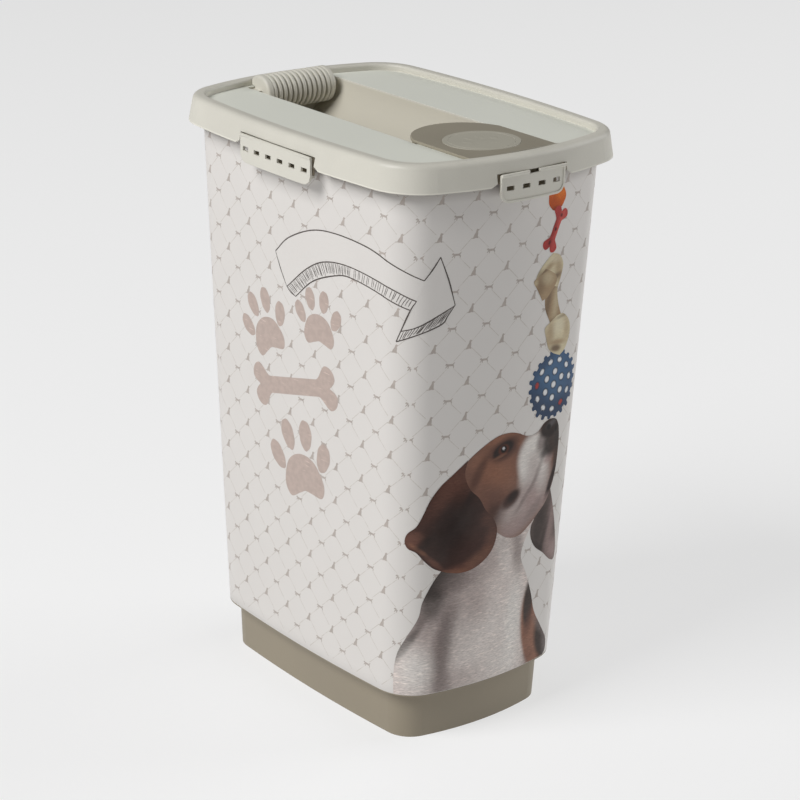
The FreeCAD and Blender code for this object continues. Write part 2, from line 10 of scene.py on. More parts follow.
import bpy
import numpy as np
from mathutils import Matrix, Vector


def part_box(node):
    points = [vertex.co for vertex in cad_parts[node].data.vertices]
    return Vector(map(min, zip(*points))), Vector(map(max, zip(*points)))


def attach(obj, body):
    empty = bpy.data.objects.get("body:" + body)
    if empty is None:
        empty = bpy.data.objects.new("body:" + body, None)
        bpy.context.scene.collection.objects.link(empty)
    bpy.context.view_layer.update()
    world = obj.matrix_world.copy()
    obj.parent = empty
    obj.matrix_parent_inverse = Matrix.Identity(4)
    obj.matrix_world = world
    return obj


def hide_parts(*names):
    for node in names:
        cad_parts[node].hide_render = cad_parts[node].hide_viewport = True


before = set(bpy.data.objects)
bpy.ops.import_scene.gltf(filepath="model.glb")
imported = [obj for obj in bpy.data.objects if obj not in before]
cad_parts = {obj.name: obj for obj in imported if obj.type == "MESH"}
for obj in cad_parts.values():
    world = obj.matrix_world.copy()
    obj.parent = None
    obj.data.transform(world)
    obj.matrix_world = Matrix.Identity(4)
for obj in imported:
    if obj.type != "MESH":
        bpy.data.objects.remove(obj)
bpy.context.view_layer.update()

bl_info = {
    "name": "Pet Food Bin",
    "version": (1, 0, 0),
    "blender": (4, 5, 0),
    "location": "View3D > Sidebar > Food Bin",
    "description": "Printed film, plastic finishes and a studio for a lidded pet food bin",
    "category": "Object",
}

MM = 0.001
WRAP_LOW = np.array(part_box("wall_wrap")[0]) / MM
WRAP_HIGH = np.array(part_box("wall_wrap")[1]) / MM

# --- Settings -----------------------------------------------------------------------------


def linear(colour):
    """Linear light from a screen colour of three bytes: the sRGB curve, channel by channel."""
    part = np.asarray(colour, float) / 255
    return tuple(np.where(part <= 0.04045, part / 12.92, ((part + 0.055) / 1.055) ** 2.4))


def colour_property(name, description, default):
    """A colour that the user picks, in linear light."""
    return bpy.props.FloatVectorProperty(
        name=name, description=description, default=linear(default), size=3, subtype="COLOR", min=0, max=1
    )


class StageSettings(bpy.types.PropertyGroup):
    """Camera, floor and lights."""

    azimuth: bpy.props.FloatProperty(
        name="Azimuth", description="Turn of the camera round the bin",
        default=math.radians(-39.1), subtype="ANGLE",
    )
    elevation: bpy.props.FloatProperty(
        name="Elevation", description="Height of the camera above the horizon",
        default=math.radians(20.23), subtype="ANGLE",
    )
    roll: bpy.props.FloatProperty(
        name="Roll", description="Turn of the picture about the line of sight",
        default=math.radians(1.43), subtype="ANGLE",
    )
    distance: bpy.props.FloatProperty(
        name="Distance", description="From the camera to the middle of the bin",
        default=2.568, unit="LENGTH",
    )
    side_step: bpy.props.FloatProperty(
        name="Side step", description="How far the camera's aim lies to the right of the bin's axis",
        default=0.0095, unit="LENGTH",
    )
    aim_height: bpy.props.FloatProperty(
        name="Aim height", description="Height that the camera points at", default=0.298, unit="LENGTH"
    )
    lens: bpy.props.FloatProperty(
        name="Lens", description="Focal length in millimetres", default=113.74, min=1
    )
    key_power: bpy.props.FloatProperty(
        name="Key light", description="Power of the large light on the left", default=290, unit="POWER"
    )
    fill_power: bpy.props.FloatProperty(
        name="Fill light", description="Power of the large light on the right", default=146, unit="POWER"
    )
    floor_glow: bpy.props.FloatProperty(
        name="Floor glow", description="Light that the translucent floor gives off", default=0.62, min=0
    )
    air: bpy.props.FloatProperty(
        name="Surround", description="Strength of the light from the room", default=0.22, min=0
    )
    floor_colour: colour_property("Floor", "Colour of the floor and the room", (150, 150, 150))


class PlasticSettings(bpy.types.PropertyGroup):
    """Colours of the mouldings."""

    tub_colour: colour_property("Tub", "Taupe of the tub", (148, 138, 120))
    lid_colour: colour_property("Lid", "Pale stone colour of the lid and latches", (215, 212, 201))
    flap_colour: colour_property("Flap", "Grey taupe of the pour flap", (158, 151, 135))
    badge_colour: colour_property("Badge", "Lighter taupe of the oval badge", (184, 180, 166))
    seal_colour: colour_property("Seal", "Soft rubber of the seal", (196, 194, 186))


class PrintSettings(bpy.types.PropertyGroup):
    """The film's ground, its lattice and the inks."""

    ground: colour_property("Ground", "Colour of the film between the print", (219, 215, 211))
    lattice: colour_property("Lattice", "Colour of the thin diagonal lines", (196, 189, 181))
    sprite: colour_property("Sprites", "Colour of the small animals", (180, 170, 163))
    line_ink: colour_property("Line ink", "Dark ink of the drawn arrow", (72, 63, 58))
    motif_ink: colour_property("Motif ink", "Dusty rose of the paw and bone marks", (184, 166, 157))
    across: bpy.props.FloatProperty(
        name="Across", description="Width of a diamond in the lattice", default=0.0374, unit="LENGTH"
    )
    up: bpy.props.FloatProperty(
        name="Up", description="Height of a diamond in the lattice", default=0.0363, unit="LENGTH"
    )


# --- Wall surface -------------------------------------------------------------------------

# Outline of the wall: half width, half length, corner radius, radius of the long sides' bow and
# of the ends' bow, at the film's top edge and at its foot. The bin is this much narrower there.
WRAP_TAPER_X = 23.88
WRAP_TAPER_Y = 19.90
WRAP_TOP_PLAN = np.array([WRAP_HIGH[0], WRAP_HIGH[1], 39.9, 1455.0, 339.2])
WRAP_FOOT_PLAN = np.array([WRAP_HIGH[0] - WRAP_TAPER_X, WRAP_HIGH[1] - WRAP_TAPER_Y, 41.6, 1747.3, 325.0])


def wall_arcs(z):
    """The wall outline's nine arcs at each height, from the middle of the back corner round.

    The outline has two bowed sides, two bowed ends and four corners, all tangent, so a corner's
    centre is where circles about the side's and the end's centres meet. Gives each arc's centre
    x and y, radius, first direction, and the u at which it starts, as arrays (9, number of z).
    """
    share = (z - WRAP_LOW[2]) / (WRAP_HIGH[2] - WRAP_LOW[2])
    plan = WRAP_FOOT_PLAN[:, None] + (WRAP_TOP_PLAN - WRAP_FOOT_PLAN)[:, None] * share
    half_x, half_y, corner, side_bow, end_bow = plan
    side_centre = half_x - side_bow
    end_centre = half_y - end_bow
    apart = np.hypot(side_centre, end_centre)
    side_reach = side_bow - corner
    end_reach = end_bow - corner
    along = (side_reach**2 - end_reach**2 + apart**2) / (2 * apart)
    across = np.sqrt(side_reach**2 - along**2)
    way_x = -side_centre / apart
    way_y = end_centre / apart
    corner_x = side_centre + way_x * along - way_y * across
    corner_y = way_y * along + way_x * across
    corner_x, corner_y = np.where(
        corner_y > 0,
        [corner_x, corner_y],
        [side_centre + way_x * along + way_y * across, way_y * along - way_x * across],
    )
    side_turn = np.arctan2(corner_y, corner_x - side_centre)
    end_turn = np.arctan2(corner_y - end_centre, corner_x)
    middle = (side_turn + end_turn) / 2
    none = np.zeros_like(z)
    pi = math.pi
    arcs = [
        (corner_x, corner_y, corner, middle, end_turn),
        (none, end_centre, end_bow, end_turn, pi - end_turn),
        (-corner_x, corner_y, corner, pi - end_turn, pi - side_turn),
        (-side_centre, none, side_bow, pi - side_turn, pi + side_turn),
        (-corner_x, -corner_y, corner, pi + side_turn, pi + end_turn),
        (none, -end_centre, end_bow, pi + end_turn, 2 * pi - end_turn),
        (corner_x, -corner_y, corner, 2 * pi - end_turn, 2 * pi - side_turn),
        (side_centre, none, side_bow, 2 * pi - side_turn, 2 * pi + side_turn),
        (corner_x, corner_y, corner, 2 * pi + side_turn, 2 * pi + middle),
    ]
    centre_x, centre_y, radius, first, last = np.array(arcs).transpose(1, 0, 2)
    length = radius * (last - first)
    start = np.cumsum(length, 0) - length
    start -= start[4] + length[4] / 2
    return centre_x, centre_y, radius, first, start, length


def on_wall(u, z, lift=0.0):
    """Points in metres at u round the wall and height z, lift outside it: on its arc, each point
    is the arc's centre plus radius and lift along the direction that u has turned to.
    """
    u, z, lift = (np.asarray(value, float) for value in np.broadcast_arrays(u, z, lift))
    centre_x, centre_y, radius, first, start, _ = wall_arcs(z.ravel())
    index = np.clip((u.ravel() >= start).sum(0) - 1, 0, 8)

    def pick(values):
        return np.take_along_axis(values, index[None], 0)[0]

    turn = pick(first) + (u.ravel() - pick(start)) / pick(radius)
    reach = pick(radius) + lift.ravel()
    x = pick(centre_x) + reach * np.cos(turn)
    y = pick(centre_y) + reach * np.sin(turn)
    return np.stack([x, y, z.ravel()], -1).reshape(u.shape + (3,)) * MM


# --- Mesh helpers -------------------------------------------------------------------------


def new_object(name, points, faces, material, body):
    """Object from points in metres and lists of corner numbers, smooth, riding on a body."""
    mesh = bpy.data.meshes.new(name)
    mesh.from_pydata(np.asarray(points).reshape(-1, 3).tolist(), [], faces)
    mesh.update()
    mesh.shade_smooth()
    piece = bpy.data.objects.new(name, mesh)
    bpy.context.scene.collection.objects.link(piece)
    mesh.materials.append(material)
    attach(piece, body)
    return piece


def grid_faces(rows, columns, close_rows=False, close_columns=False):
    """Corner numbers of the quads of a rows by columns grid, joined round where closed."""
    row = np.arange(rows if close_rows else rows - 1)
    column = np.arange(columns if close_columns else columns - 1)
    row, column = np.meshgrid(row, column, indexing="ij")
    next_row = (row + 1) % rows
    next_column = (column + 1) % columns
    corners = [row * columns + column, row * columns + next_column,
               next_row * columns + next_column, next_row * columns + column]
    return np.stack(corners, -1).reshape(-1, 4)


def spline(points, count, closed=False):
    """Catmull-Rom curve through points: count places, evenly spaced in its parameter."""
    points = np.asarray(points, float)
    last = len(points) if closed else len(points) - 1
    t = np.linspace(0, last, count, endpoint=not closed)
    index = np.minimum(t.astype(int), last - 1)
    f = (t - index)[:, None]
    if closed:
        before, start, end, after = (points[(index + step) % len(points)] for step in (-1, 0, 1, 2))
    else:
        padded = np.vstack([2 * points[0] - points[1], points, 2 * points[-1] - points[-2]])
        before, start, end, after = (padded[index + step] for step in (0, 1, 2, 3))
    return 0.5 * (
        2 * start + (end - before) * f
        + (2 * before - 5 * start + 4 * end - after) * f**2
        + (3 * start - before - 3 * end + after) * f**3
    )


def even_spline(points, count):
    """Catmull-Rom curve through points, count places evenly spaced along its length."""
    fine = spline(points, 40 * len(points))
    run = np.concatenate([[0], np.cumsum(np.hypot(*np.diff(fine, axis=0).T))])
    at = np.linspace(0, run[-1], count)
    return np.stack([np.interp(at, run, fine[:, 0]), np.interp(at, run, fine[:, 1])], -1)


def smooth_step(value):
    """0 below 0, 1 above 1, and the cubic 3t^2 - 2t^3 between."""
    value = np.clip(value, 0, 1)
    return value * value * (3 - 2 * value)


def between_rails(left, right, across, along):
    """Grid (along, across, 2) of places on straight lines between two splines."""
    a = even_spline(left, along)[:, None]
    b = even_spline(right, along)[:, None]
    share = np.linspace(0, 1, across)[None, :, None]
    return a + (b - a) * share


def radial(centre, edge, rings):
    """Grid (rings, points round) from a small ring about centre out to the closed edge."""
    centre = np.asarray(centre, float)
    share = (np.arange(1, rings + 1) / rings)[:, None, None]
    return centre + (edge[None] - centre) * share


def joined(grids, kinds):
    """Places and faces of many grids as one mesh, every face turned anticlockwise.

    A grid is "open", a "ring" that is closed round, or a "disc", a ring with a polygon in its
    middle. Its turn is the sign of its whole area.
    """
    places, faces, first = [], [], 0
    for grid, kind in zip(grids, kinds):
        rows, columns = grid.shape[:2]
        quads = grid_faces(rows, columns, close_columns=kind != "open")
        corner = grid.reshape(-1, 2)
        a, b = (corner[quads[:, 2:]] - corner[quads[:, :2]]).transpose(1, 2, 0)
        turned = (a[0] * b[1] - a[1] * b[0]).sum() < 0
        faces += ((quads[:, ::-1] if turned else quads) + first).tolist()
        if kind == "disc":
            ring = list(range(first, first + columns))
            faces.append(ring if turned else ring[::-1])
        places.append(corner)
        first += rows * columns
    return np.concatenate(places), faces


def print_faces(name, places, faces, lift, material, ink=None):
    """Thin printed piece on the wall: flat places (n, 2) and faces, with their ink."""
    points = on_wall(places[:, 0], places[:, 1], lift)
    piece = new_object(name, points, faces, material, "bin")
    mesh = piece.data
    spot = mesh.attributes.new("print_place", "FLOAT_VECTOR", "POINT")
    drawn = np.column_stack([places * MM, np.zeros(len(places))])
    spot.data.foreach_set("vector", drawn.ravel().astype(np.float32))
    if ink is not None:
        colours = mesh.color_attributes.new("ink", "FLOAT_COLOR", "POINT")
        rgba = np.column_stack([ink.reshape(-1, 3), np.ones(len(places))])
        colours.data.foreach_set("color", rgba.ravel().astype(np.float32))


def print_grids(name, grids, lift, material, kinds=None, ink=None):
    """One printed piece from grids of places, all open unless their kinds are given."""
    places, faces = joined(grids, kinds or ["open"] * len(grids))
    print_faces(name, places, faces, lift, material, ink)


def paint(places, ground, dabs):
    """Ink at each place: the ground colour, with soft oval dabs laid over it in their order.

    A dab is (u, z, half length, half width, turn in degrees, softness, colour, strength). Its
    share is 1 inside, 0 outside, and eases over softness either side of its oval edge.
    """
    ink = np.empty(places.shape[:-1] + (3,))
    ink[...] = linear(ground)
    for u, z, half_length, half_width, turn, soft, colour, strength in dabs:
        c, s = math.cos(math.radians(turn)), math.sin(math.radians(turn))
        right, rise = places[..., 0] - u, places[..., 1] - z
        reach = np.hypot((right * c + rise * s) / half_length, (rise * c - right * s) / half_width)
        share = strength * (1 - smooth_step((reach - 1 + soft) / (2 * soft)))
        ink += (np.array(linear(colour)) - ink) * share[..., None]
    return ink


# --- Materials ----------------------------------------------------------------------------

# Share of a diamond's diagonal that a lattice line is wide, and that it stops short of a node
LATTICE_LINE = 0.0125
LATTICE_GAP = 0.20
# The print leans by this much to the left, for each millimetre down, as the wall narrows
PRINT_LEAN = 0.0454
# Place of one standing animal, to which the whole pattern lines up
PRINT_START = (12.0, 509.0)
# How far past an edge its painted highlight line, and a change of colour and finish, fades
EDGE_FADE = 0.0004
# Half widths of the trough and half length that its painted shade covers, where it starts and where it ends
TROUGH_HALF_X = (0.0565, 0.0545)
TROUGH_HALF_Y = (0.192, 0.188)
TROUGH_FADE = 0.002
# Painted light on the lid, against its own colour: a paler, cooler painted reflection on its sunken panel, and
# darker, warmer painted shade in its trough
PANEL_PAINTED_REFLECTION = np.array((1.14, 1.19, 1.21))
TROUGH_PAINTED_SHADE = np.array((0.86, 0.84, 0.80))


class Recipe:
    """One material's node tree: each method adds a node and gives back its result."""

    def __init__(self, name):
        self.material = bpy.data.materials.new(name)
        self.material.use_nodes = True
        self.tree = self.material.node_tree
        self.shader = self.tree.nodes["Principled BSDF"]

    def feed(self, socket, value):
        """Links a result to a socket, or sets the socket to a constant."""
        if isinstance(value, bpy.types.NodeSocket):
            self.tree.links.new(value, socket)
        elif socket.type == "RGBA" and len(value) == 3:
            socket.default_value = (*value, 1)
        else:
            socket.default_value = value

    def node(self, kind, settings=None, **inputs):
        """A node of that kind with its settings and, by name or i0, i1 ..., its inputs."""
        made = self.tree.nodes.new(kind)
        for key, value in (settings or {}).items():
            setattr(made, key, value)
        for key, value in inputs.items():
            numbered = key[0] == "i" and key[1:].isdigit()
            self.feed(made.inputs[int(key[1:]) if numbered else key], value)
        return made

    def math(self, operation, a, b=0.0):
        """Result of one sum on numbers."""
        return self.node("ShaderNodeMath", {"operation": operation}, i0=a, i1=b).outputs[0]

    def product(self, *values):
        """Numbers multiplied together, in order."""
        result = values[0]
        for value in values[1:]:
            result = self.math("MULTIPLY", result, value)
        return result

    def mix(self, share, a, b, blend="MIX"):
        """Colour a share of the way from a to b."""
        made = self.node("ShaderNodeMix", {"data_type": "RGBA", "blend_type": blend})
        self.feed(made.inputs[0], share)
        self.feed(made.inputs[6], a)
        self.feed(made.inputs[7], b)
        return made.outputs[2]

    def ramp(self, value, low, high, out_low=0.0, out_high=1.0):
        """Value mapped smoothly from low..high to out_low..out_high."""
        made = self.node("ShaderNodeMapRange", {"interpolation_type": "SMOOTHSTEP"}, Value=value)
        for key, number in zip(("From Min", "From Max", "To Min", "To Max"), (low, high, out_low, out_high)):
            self.feed(made.inputs[key], number)
        return made.outputs[0]

    def noise(self, vector, scale, detail=3.0, roughness=0.5):
        """Fractal noise, about 0 to 1 with its middle at 0.5."""
        inputs = {"Vector": vector, "Scale": scale, "Detail": detail, "Roughness": roughness}
        return self.node("ShaderNodeTexNoise", **inputs).outputs[0]

    def stretched(self, vector, turn, stretch):
        """Vector turned in its plane and squeezed along its first axis, for streaks."""
        made = self.node("ShaderNodeMapping", Vector=vector)
        made.inputs["Rotation"].default_value = (0, 0, turn)
        made.inputs["Scale"].default_value = (1 / stretch, 1, 1)
        return made.outputs[0]

    def object_place(self):
        """The point's place in its object, in metres."""
        return self.node("ShaderNodeTexCoord").outputs["Object"]

    def print_place(self):
        """The point's place on the wall, u and z in metres."""
        return self.node("ShaderNodeAttribute", {"attribute_name": "print_place"}).outputs["Vector"]

    def bump(self, height, strength, distance, normal=None):
        """Normal tilted by a height."""
        made = self.node("ShaderNodeBump", Strength=strength, Distance=distance, Height=height)
        if normal is not None:
            self.feed(made.inputs["Normal"], normal)
        return made.outputs[0]

    def finish(self, colour, roughness, normal=None, **constants):
        """Feeds the shader and returns the material."""
        self.feed(self.shader.inputs["Base Color"], colour)
        self.feed(self.shader.inputs["Roughness"], roughness)
        if normal is not None:
            self.feed(self.shader.inputs["Normal"], normal)
        for key, value in constants.items():
            self.shader.inputs[key.replace("_", " ")].default_value = value
        return self.material


def moulded_plastic(name, colour, roughness, lip_z=None, panel_z=None):
    """Moulded polypropylene: soft flow marks, a fine spark-eroded grain and paler edges, partly wear and partly a
    painted highlight.

    The paler edge, partly wear and partly a painted highlight, is where the normal rounded over an edge leaves the
    flat one. Below lip_z the colour is a paler line, a painted highlight along the skirt's lower edge; at panel_z
    the level faces are paler and cooler, a painted reflection, and matt; and below them, between the trough's
    walls, they are darker and warmer, painted shade.
    """
    recipe = Recipe(name)
    place = recipe.object_place()
    x, y, height = recipe.node("ShaderNodeSeparateXYZ", i0=place).outputs
    cloud = recipe.noise(place, 9.0, 4.0)
    speck = recipe.noise(place, 900.0, 2.0)
    fine = recipe.noise(place, 2600.0, 2.0, 0.6)
    rounded = recipe.node("ShaderNodeBevel", {"samples": 6}, Radius=0.0007).outputs[0]
    flat = recipe.node("ShaderNodeNewGeometry").outputs["Normal"]
    meeting = recipe.node("ShaderNodeVectorMath", {"operation": "DOT_PRODUCT"}, i0=rounded, i1=flat)
    edge = recipe.ramp(meeting.outputs["Value"], 0.995, 0.86)
    # Paler edges: partly wear, partly a painted highlight along rounded edges, made patchy by noise
    wear_and_sheen = recipe.product(edge, recipe.ramp(recipe.noise(place, 60.0, 3.0), 0.3, 0.75, 0.25, 0.6))
    colour = np.array(colour)

    def tinted(tint, add=0.0):
        return tuple(np.minimum(colour * tint + add, 1))

    shade = recipe.mix(recipe.ramp(cloud, 0.3, 0.7), tinted(0.955), tinted(1.03))
    shade = recipe.mix(recipe.ramp(speck, 0.35, 0.8, 0, 0.12), shade, tinted(0.8))
    # Painted highlight and wear: the edges are mixed towards a paler colour
    shade = recipe.mix(wear_and_sheen, shade, tinted(1.22, 0.02))
    rough = recipe.ramp(cloud, 0.25, 0.75, roughness - 0.05, roughness + 0.06)
    if lip_z:
        # Painted highlight: a paler line on the lid below lip_z, along the skirt's lower edge
        line = recipe.ramp(height, lip_z, lip_z - EDGE_FADE, 0, 0.55)
        shade = recipe.mix(line, shade, tinted(1.25))
    if panel_z:
        low, high = panel_z - EDGE_FADE, panel_z + EDGE_FADE
        upright = recipe.node("ShaderNodeSeparateXYZ", i0=flat).outputs[2]
        # Painted reflection: the panel's level faces get a paler, cooler colour; they are also made matt
        on_panel = recipe.product(
            recipe.ramp(height, low - EDGE_FADE, low), recipe.ramp(height, high + EDGE_FADE, high),
            recipe.ramp(upright, 0.9, 0.98),
        )
        shade = recipe.mix(on_panel, shade, tinted(PANEL_PAINTED_REFLECTION))
        # Painted shade: darker, warmer colour below the panel, between the trough's walls
        in_trough = recipe.product(
            recipe.ramp(recipe.math("ABSOLUTE", x), *TROUGH_HALF_X),
            recipe.ramp(recipe.math("ABSOLUTE", y), *TROUGH_HALF_Y),
            recipe.ramp(height, low, low - TROUGH_FADE),
        )
        shade = recipe.mix(in_trough, shade, tinted(TROUGH_PAINTED_SHADE))
        rough = recipe.math("ADD", rough, recipe.math("MULTIPLY", on_panel, 0.14))
    normal = recipe.bump(fine, 0.05, 0.0002, rounded)
    return recipe.finish(shade, rough, normal, Specular_IOR_Level=0.42)


def film_finish(recipe, shade, place, gloss=0.35):
    """Satin film over the print: faint mottle in its colour and gloss, and a soft orange peel."""
    cloud = recipe.noise(place, 14.0, 4.0)
    shade = recipe.mix(recipe.ramp(cloud, 0.3, 0.7, 0, 0.05), shade, (0.52, 0.50, 0.47))
    rough = recipe.ramp(cloud, 0.25, 0.75, 0.36, 0.45)
    peel = recipe.noise(place, 240.0, 2.0)
    return recipe.finish(shade, rough, recipe.bump(peel, 0.05, 0.0003), Specular_IOR_Level=gloss)


def lattice_film(settings):
    """White film with thin diagonal lines, broken off short of the places of the small animals.

    On u and z divided by the diamond's size, the lines are where the sum or the difference is a
    whole number, and the animals' places are where both are.
    """
    recipe = Recipe("printed film")
    place = recipe.print_place()
    parts = recipe.node("ShaderNodeSeparateXYZ", i0=place)
    across = recipe.math("DIVIDE", parts.outputs[0], settings.across)
    up = recipe.math("DIVIDE", parts.outputs[1], settings.up)
    shade = tuple(settings.ground)
    wear_and_sheen = recipe.ramp(recipe.noise(place, 110.0, 3.0), 0.35, 0.6, 0.35, 1.0)
    for sign, other in (("ADD", "SUBTRACT"), ("SUBTRACT", "ADD")):
        off_line = recipe.math("PINGPONG", recipe.math(sign, across, up), 0.5)
        along = recipe.math("PINGPONG", recipe.math(other, across, up), 0.5)
        line = recipe.ramp(off_line, LATTICE_LINE * 1.5, LATTICE_LINE * 0.6)
        part = recipe.ramp(along, LATTICE_GAP * 0.85, LATTICE_GAP)
        broken = recipe.ramp(recipe.math("PINGPONG", recipe.math("MULTIPLY", along, 7.0), 0.5), 0.02, 0.10)
        dash = recipe.math("ADD", recipe.math("MULTIPLY", broken, 0.6), 0.4)
        mark = recipe.product(line, part, wear_and_sheen, dash)
        shade = recipe.mix(mark, shade, tuple(settings.lattice))
    return film_finish(recipe, shade, place)


def plain_film(settings):
    """The film's ground with nothing printed, as inside the drawn arrow."""
    recipe = Recipe("plain film")
    return film_finish(recipe, tuple(settings.ground), recipe.print_place())


def flat_ink(name, colour, dry=0.0):
    """One ink on the film, a little uneven, with dry brush streaks if dry is over 0."""
    recipe = Recipe(name)
    place = recipe.print_place()
    colour = np.array(colour)
    blot = recipe.ramp(recipe.noise(place, 160.0, 3.0), 0.3, 0.7)
    shade = recipe.mix(blot, tuple(colour * 0.93), tuple(colour * 1.05))
    streak = recipe.noise(recipe.stretched(place, 1.1, 9.0), 420.0, 3.0)
    pale = tuple(np.minimum(colour * 1.5 + 0.03, 1))
    shade = recipe.mix(recipe.ramp(streak, 0.62, 0.74, 0, dry), shade, pale)
    return film_finish(recipe, shade, place)


def picture_ink(name, turn, hair, strength, width=1500.0):
    """A picture's own inks, read from its painted colours, with fine hairs combed along turn."""
    recipe = Recipe(name)
    place = recipe.print_place()
    ink = recipe.node("ShaderNodeAttribute", {"attribute_name": "ink"}).outputs["Color"]
    wave = recipe.noise(place, 22.0, 2.0)
    comb = recipe.noise(recipe.stretched(place, turn, hair), width, 3.0, 0.6)
    coarse = recipe.noise(recipe.stretched(place, turn, hair * 0.8), width * 0.3, 3.0, 0.6)
    dark = recipe.ramp(comb, 0.35, 0.6, strength, 0.0)
    light = recipe.ramp(coarse, 0.45, 0.8, 0.0, strength)
    shade = recipe.mix(dark, ink, (0.45, 0.42, 0.41), "MULTIPLY")
    shade = recipe.mix(light, shade, (1.9, 1.85, 1.8), "MULTIPLY")
    shade = recipe.mix(recipe.ramp(wave, 0.3, 0.7, 0.0, 0.10), shade, (0.5, 0.45, 0.43), "MULTIPLY")
    return film_finish(recipe, shade, place, gloss=0.12)


# --- Wrap and its small print -----------------------------------------------------------------

CORNER_STEPS = 24
BOW_STEPS = 24
WALL_ROWS = 40
FILM_DEPTH = 0.35
FILM_EDGE = 0.12
SPRITE_LIFT = 0.05


def drawn_place(u, z):
    """Where a place on the wall falls in the flat pattern: sheared by the print's lean."""
    return u - PRINT_START[0] - (z - PRINT_START[1]) * PRINT_LEAN, z - PRINT_START[1]


def make_wrap(settings):
    """Film round the wall: a closed section (outer face, rounded edges, inner face) carried round
    the outline. Columns divide each of its nine arcs evenly, and rows climb from foot to top.
    """
    low, high = WRAP_LOW[2], WRAP_HIGH[2]
    heights = np.concatenate([
        [low + FILM_EDGE, low, low + FILM_EDGE], np.linspace(low, high, WALL_ROWS)[1:-1],
        [high - FILM_EDGE, high, high - FILM_EDGE],
    ])
    lifts = np.concatenate([
        [-FILM_DEPTH, -FILM_EDGE, 0], np.zeros(WALL_ROWS - 2), [0, -FILM_EDGE, -FILM_DEPTH]
    ])
    heights = np.clip(heights, low, high)
    steps = [CORNER_STEPS // 2, *([BOW_STEPS, CORNER_STEPS] * 3), BOW_STEPS, CORNER_STEPS // 2]
    arc = np.repeat(np.arange(9), steps)
    share = np.concatenate([np.arange(count) / count for count in steps])
    _, _, _, _, start, length = wall_arcs(heights)
    u = start[arc].T + length[arc].T * share
    z = np.repeat(heights[:, None], u.shape[1], 1)
    points = on_wall(u, z, np.repeat(lifts[:, None], u.shape[1], 1))
    rows, columns = u.shape
    faces = grid_faces(rows, columns, close_rows=True, close_columns=True)
    piece = new_object("wall_film", points, faces.tolist(), lattice_film(settings), "bin")
    end_u = (start[8] + length[8])[:, None]
    wide = np.concatenate([u, end_u], 1)
    tall = np.concatenate([z, z[:, :1]], 1)
    across, up = drawn_place(wide, tall)
    flat = np.stack([across, up, 0 * up], -1) * MM
    row, column = np.divmod(faces[:, 0], columns)
    next_row = (row + 1) % rows
    corner_rows = np.stack([row, row, next_row, next_row], 1)
    corner_columns = np.stack([column, column + 1, column + 1, column], 1)
    corners = flat[corner_rows, corner_columns]
    spot = piece.data.attributes.new("print_place", "FLOAT_VECTOR", "CORNER")
    spot.data.foreach_set("vector", corners.ravel().astype(np.float32))
    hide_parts("wall_wrap")
    return piece


# Outlines of the two small animals, in millimetres about their middle: one stands, one sits
STANDING = [
    (-5.2, 0.6), (-4.4, 1.9), (-3.3, 2.2), (-2.6, 1.3), (2.6, 1.1), (4.0, 2.2), (5.4, 2.9), (4.3, 1.2),
    (3.6, 0.2), (4.3, -1.3), (3.9, -2.9), (3.1, -2.9), (3.2, -1.5), (2.2, -0.9), (-1.4, -0.8),
    (-2.0, -2.9), (-2.8, -2.9), (-2.5, -0.6), (-3.4, -1.4), (-4.6, -2.5), (-5.1, -2.1), (-3.4, 0.2),
]
SITTING = [
    (-4.6, -4.2), (-2.6, -3.4), (-1.2, -0.6), (0.4, 1.6), (0.9, 3.6), (1.9, 4.8), (2.9, 4.3), (3.9, 3.9),
    (3.6, 3.0), (2.7, 2.6), (2.8, 0.4), (2.5, -2.2), (3.1, -4.3), (1.9, -4.4), (0.6, -3.9), (-1.6, -4.5),
]


def lattice_sprites(settings, blank):
    """Every small animal as one flat polygon: the outline set down at each node of the lattice.

    Rows of standing and of sitting ones take turns, half a diamond apart both ways, and a place
    inside the blank outline gets none.
    """
    across, up = settings.across / MM, settings.up / MM
    heights = WRAP_LOW[2], WRAP_HIGH[2]
    places, faces = [], []
    for outline, half in ((STANDING, 0.0), (SITTING, 0.5)):
        outline = np.array(outline)
        rows = np.arange(-20, 20) + half
        z = PRINT_START[1] + rows * up
        z = z[(z > heights[0] + 5) & (z < heights[1] - 4)]
        columns = np.arange(-30, 30) + half
        row_z, column = np.meshgrid(z, columns, indexing="ij")
        u = PRINT_START[0] + column * across + (row_z - PRINT_START[1]) * PRINT_LEAN
        _, _, _, _, start, length = wall_arcs(row_z.ravel())
        first = start[0].reshape(u.shape)
        last = (start[8] + length[8]).reshape(u.shape)
        keep = (u > first + 6) & (u < last - 6) & ~inside(np.stack([u, row_z], -1), blank)
        centres = np.stack([u[keep], row_z[keep]], -1)
        count = len(outline)
        base = sum(len(block) for block in places)
        places.append((centres[:, None] + outline[None]).reshape(-1, 2))
        corners = base + np.arange(len(centres) * count).reshape(-1, count)
        faces += corners[:, ::-1].tolist()
    flat = np.concatenate(places)
    ink = flat_ink("sprite ink", settings.sprite)
    print_faces("lattice_sprites", flat, faces, SPRITE_LIFT, ink)


def inside(places, polygon):
    """Which places lie in a polygon: an odd number of its edges cross the line to their right."""
    a, b = np.asarray(polygon), np.roll(polygon, -1, 0)
    x, y = places[..., 0, None], places[..., 1, None]
    spans = (a[:, 1] > y) != (b[:, 1] > y)
    run = b[:, 1] - a[:, 1]
    run = np.where(run == 0, 1, run)
    cross = a[:, 0] + (y - a[:, 1]) * (b[:, 0] - a[:, 0]) / run
    return (spans & (x < cross)).sum(-1) % 2 == 1


# --- Drawn arrow ---------------------------------------------------------------------------

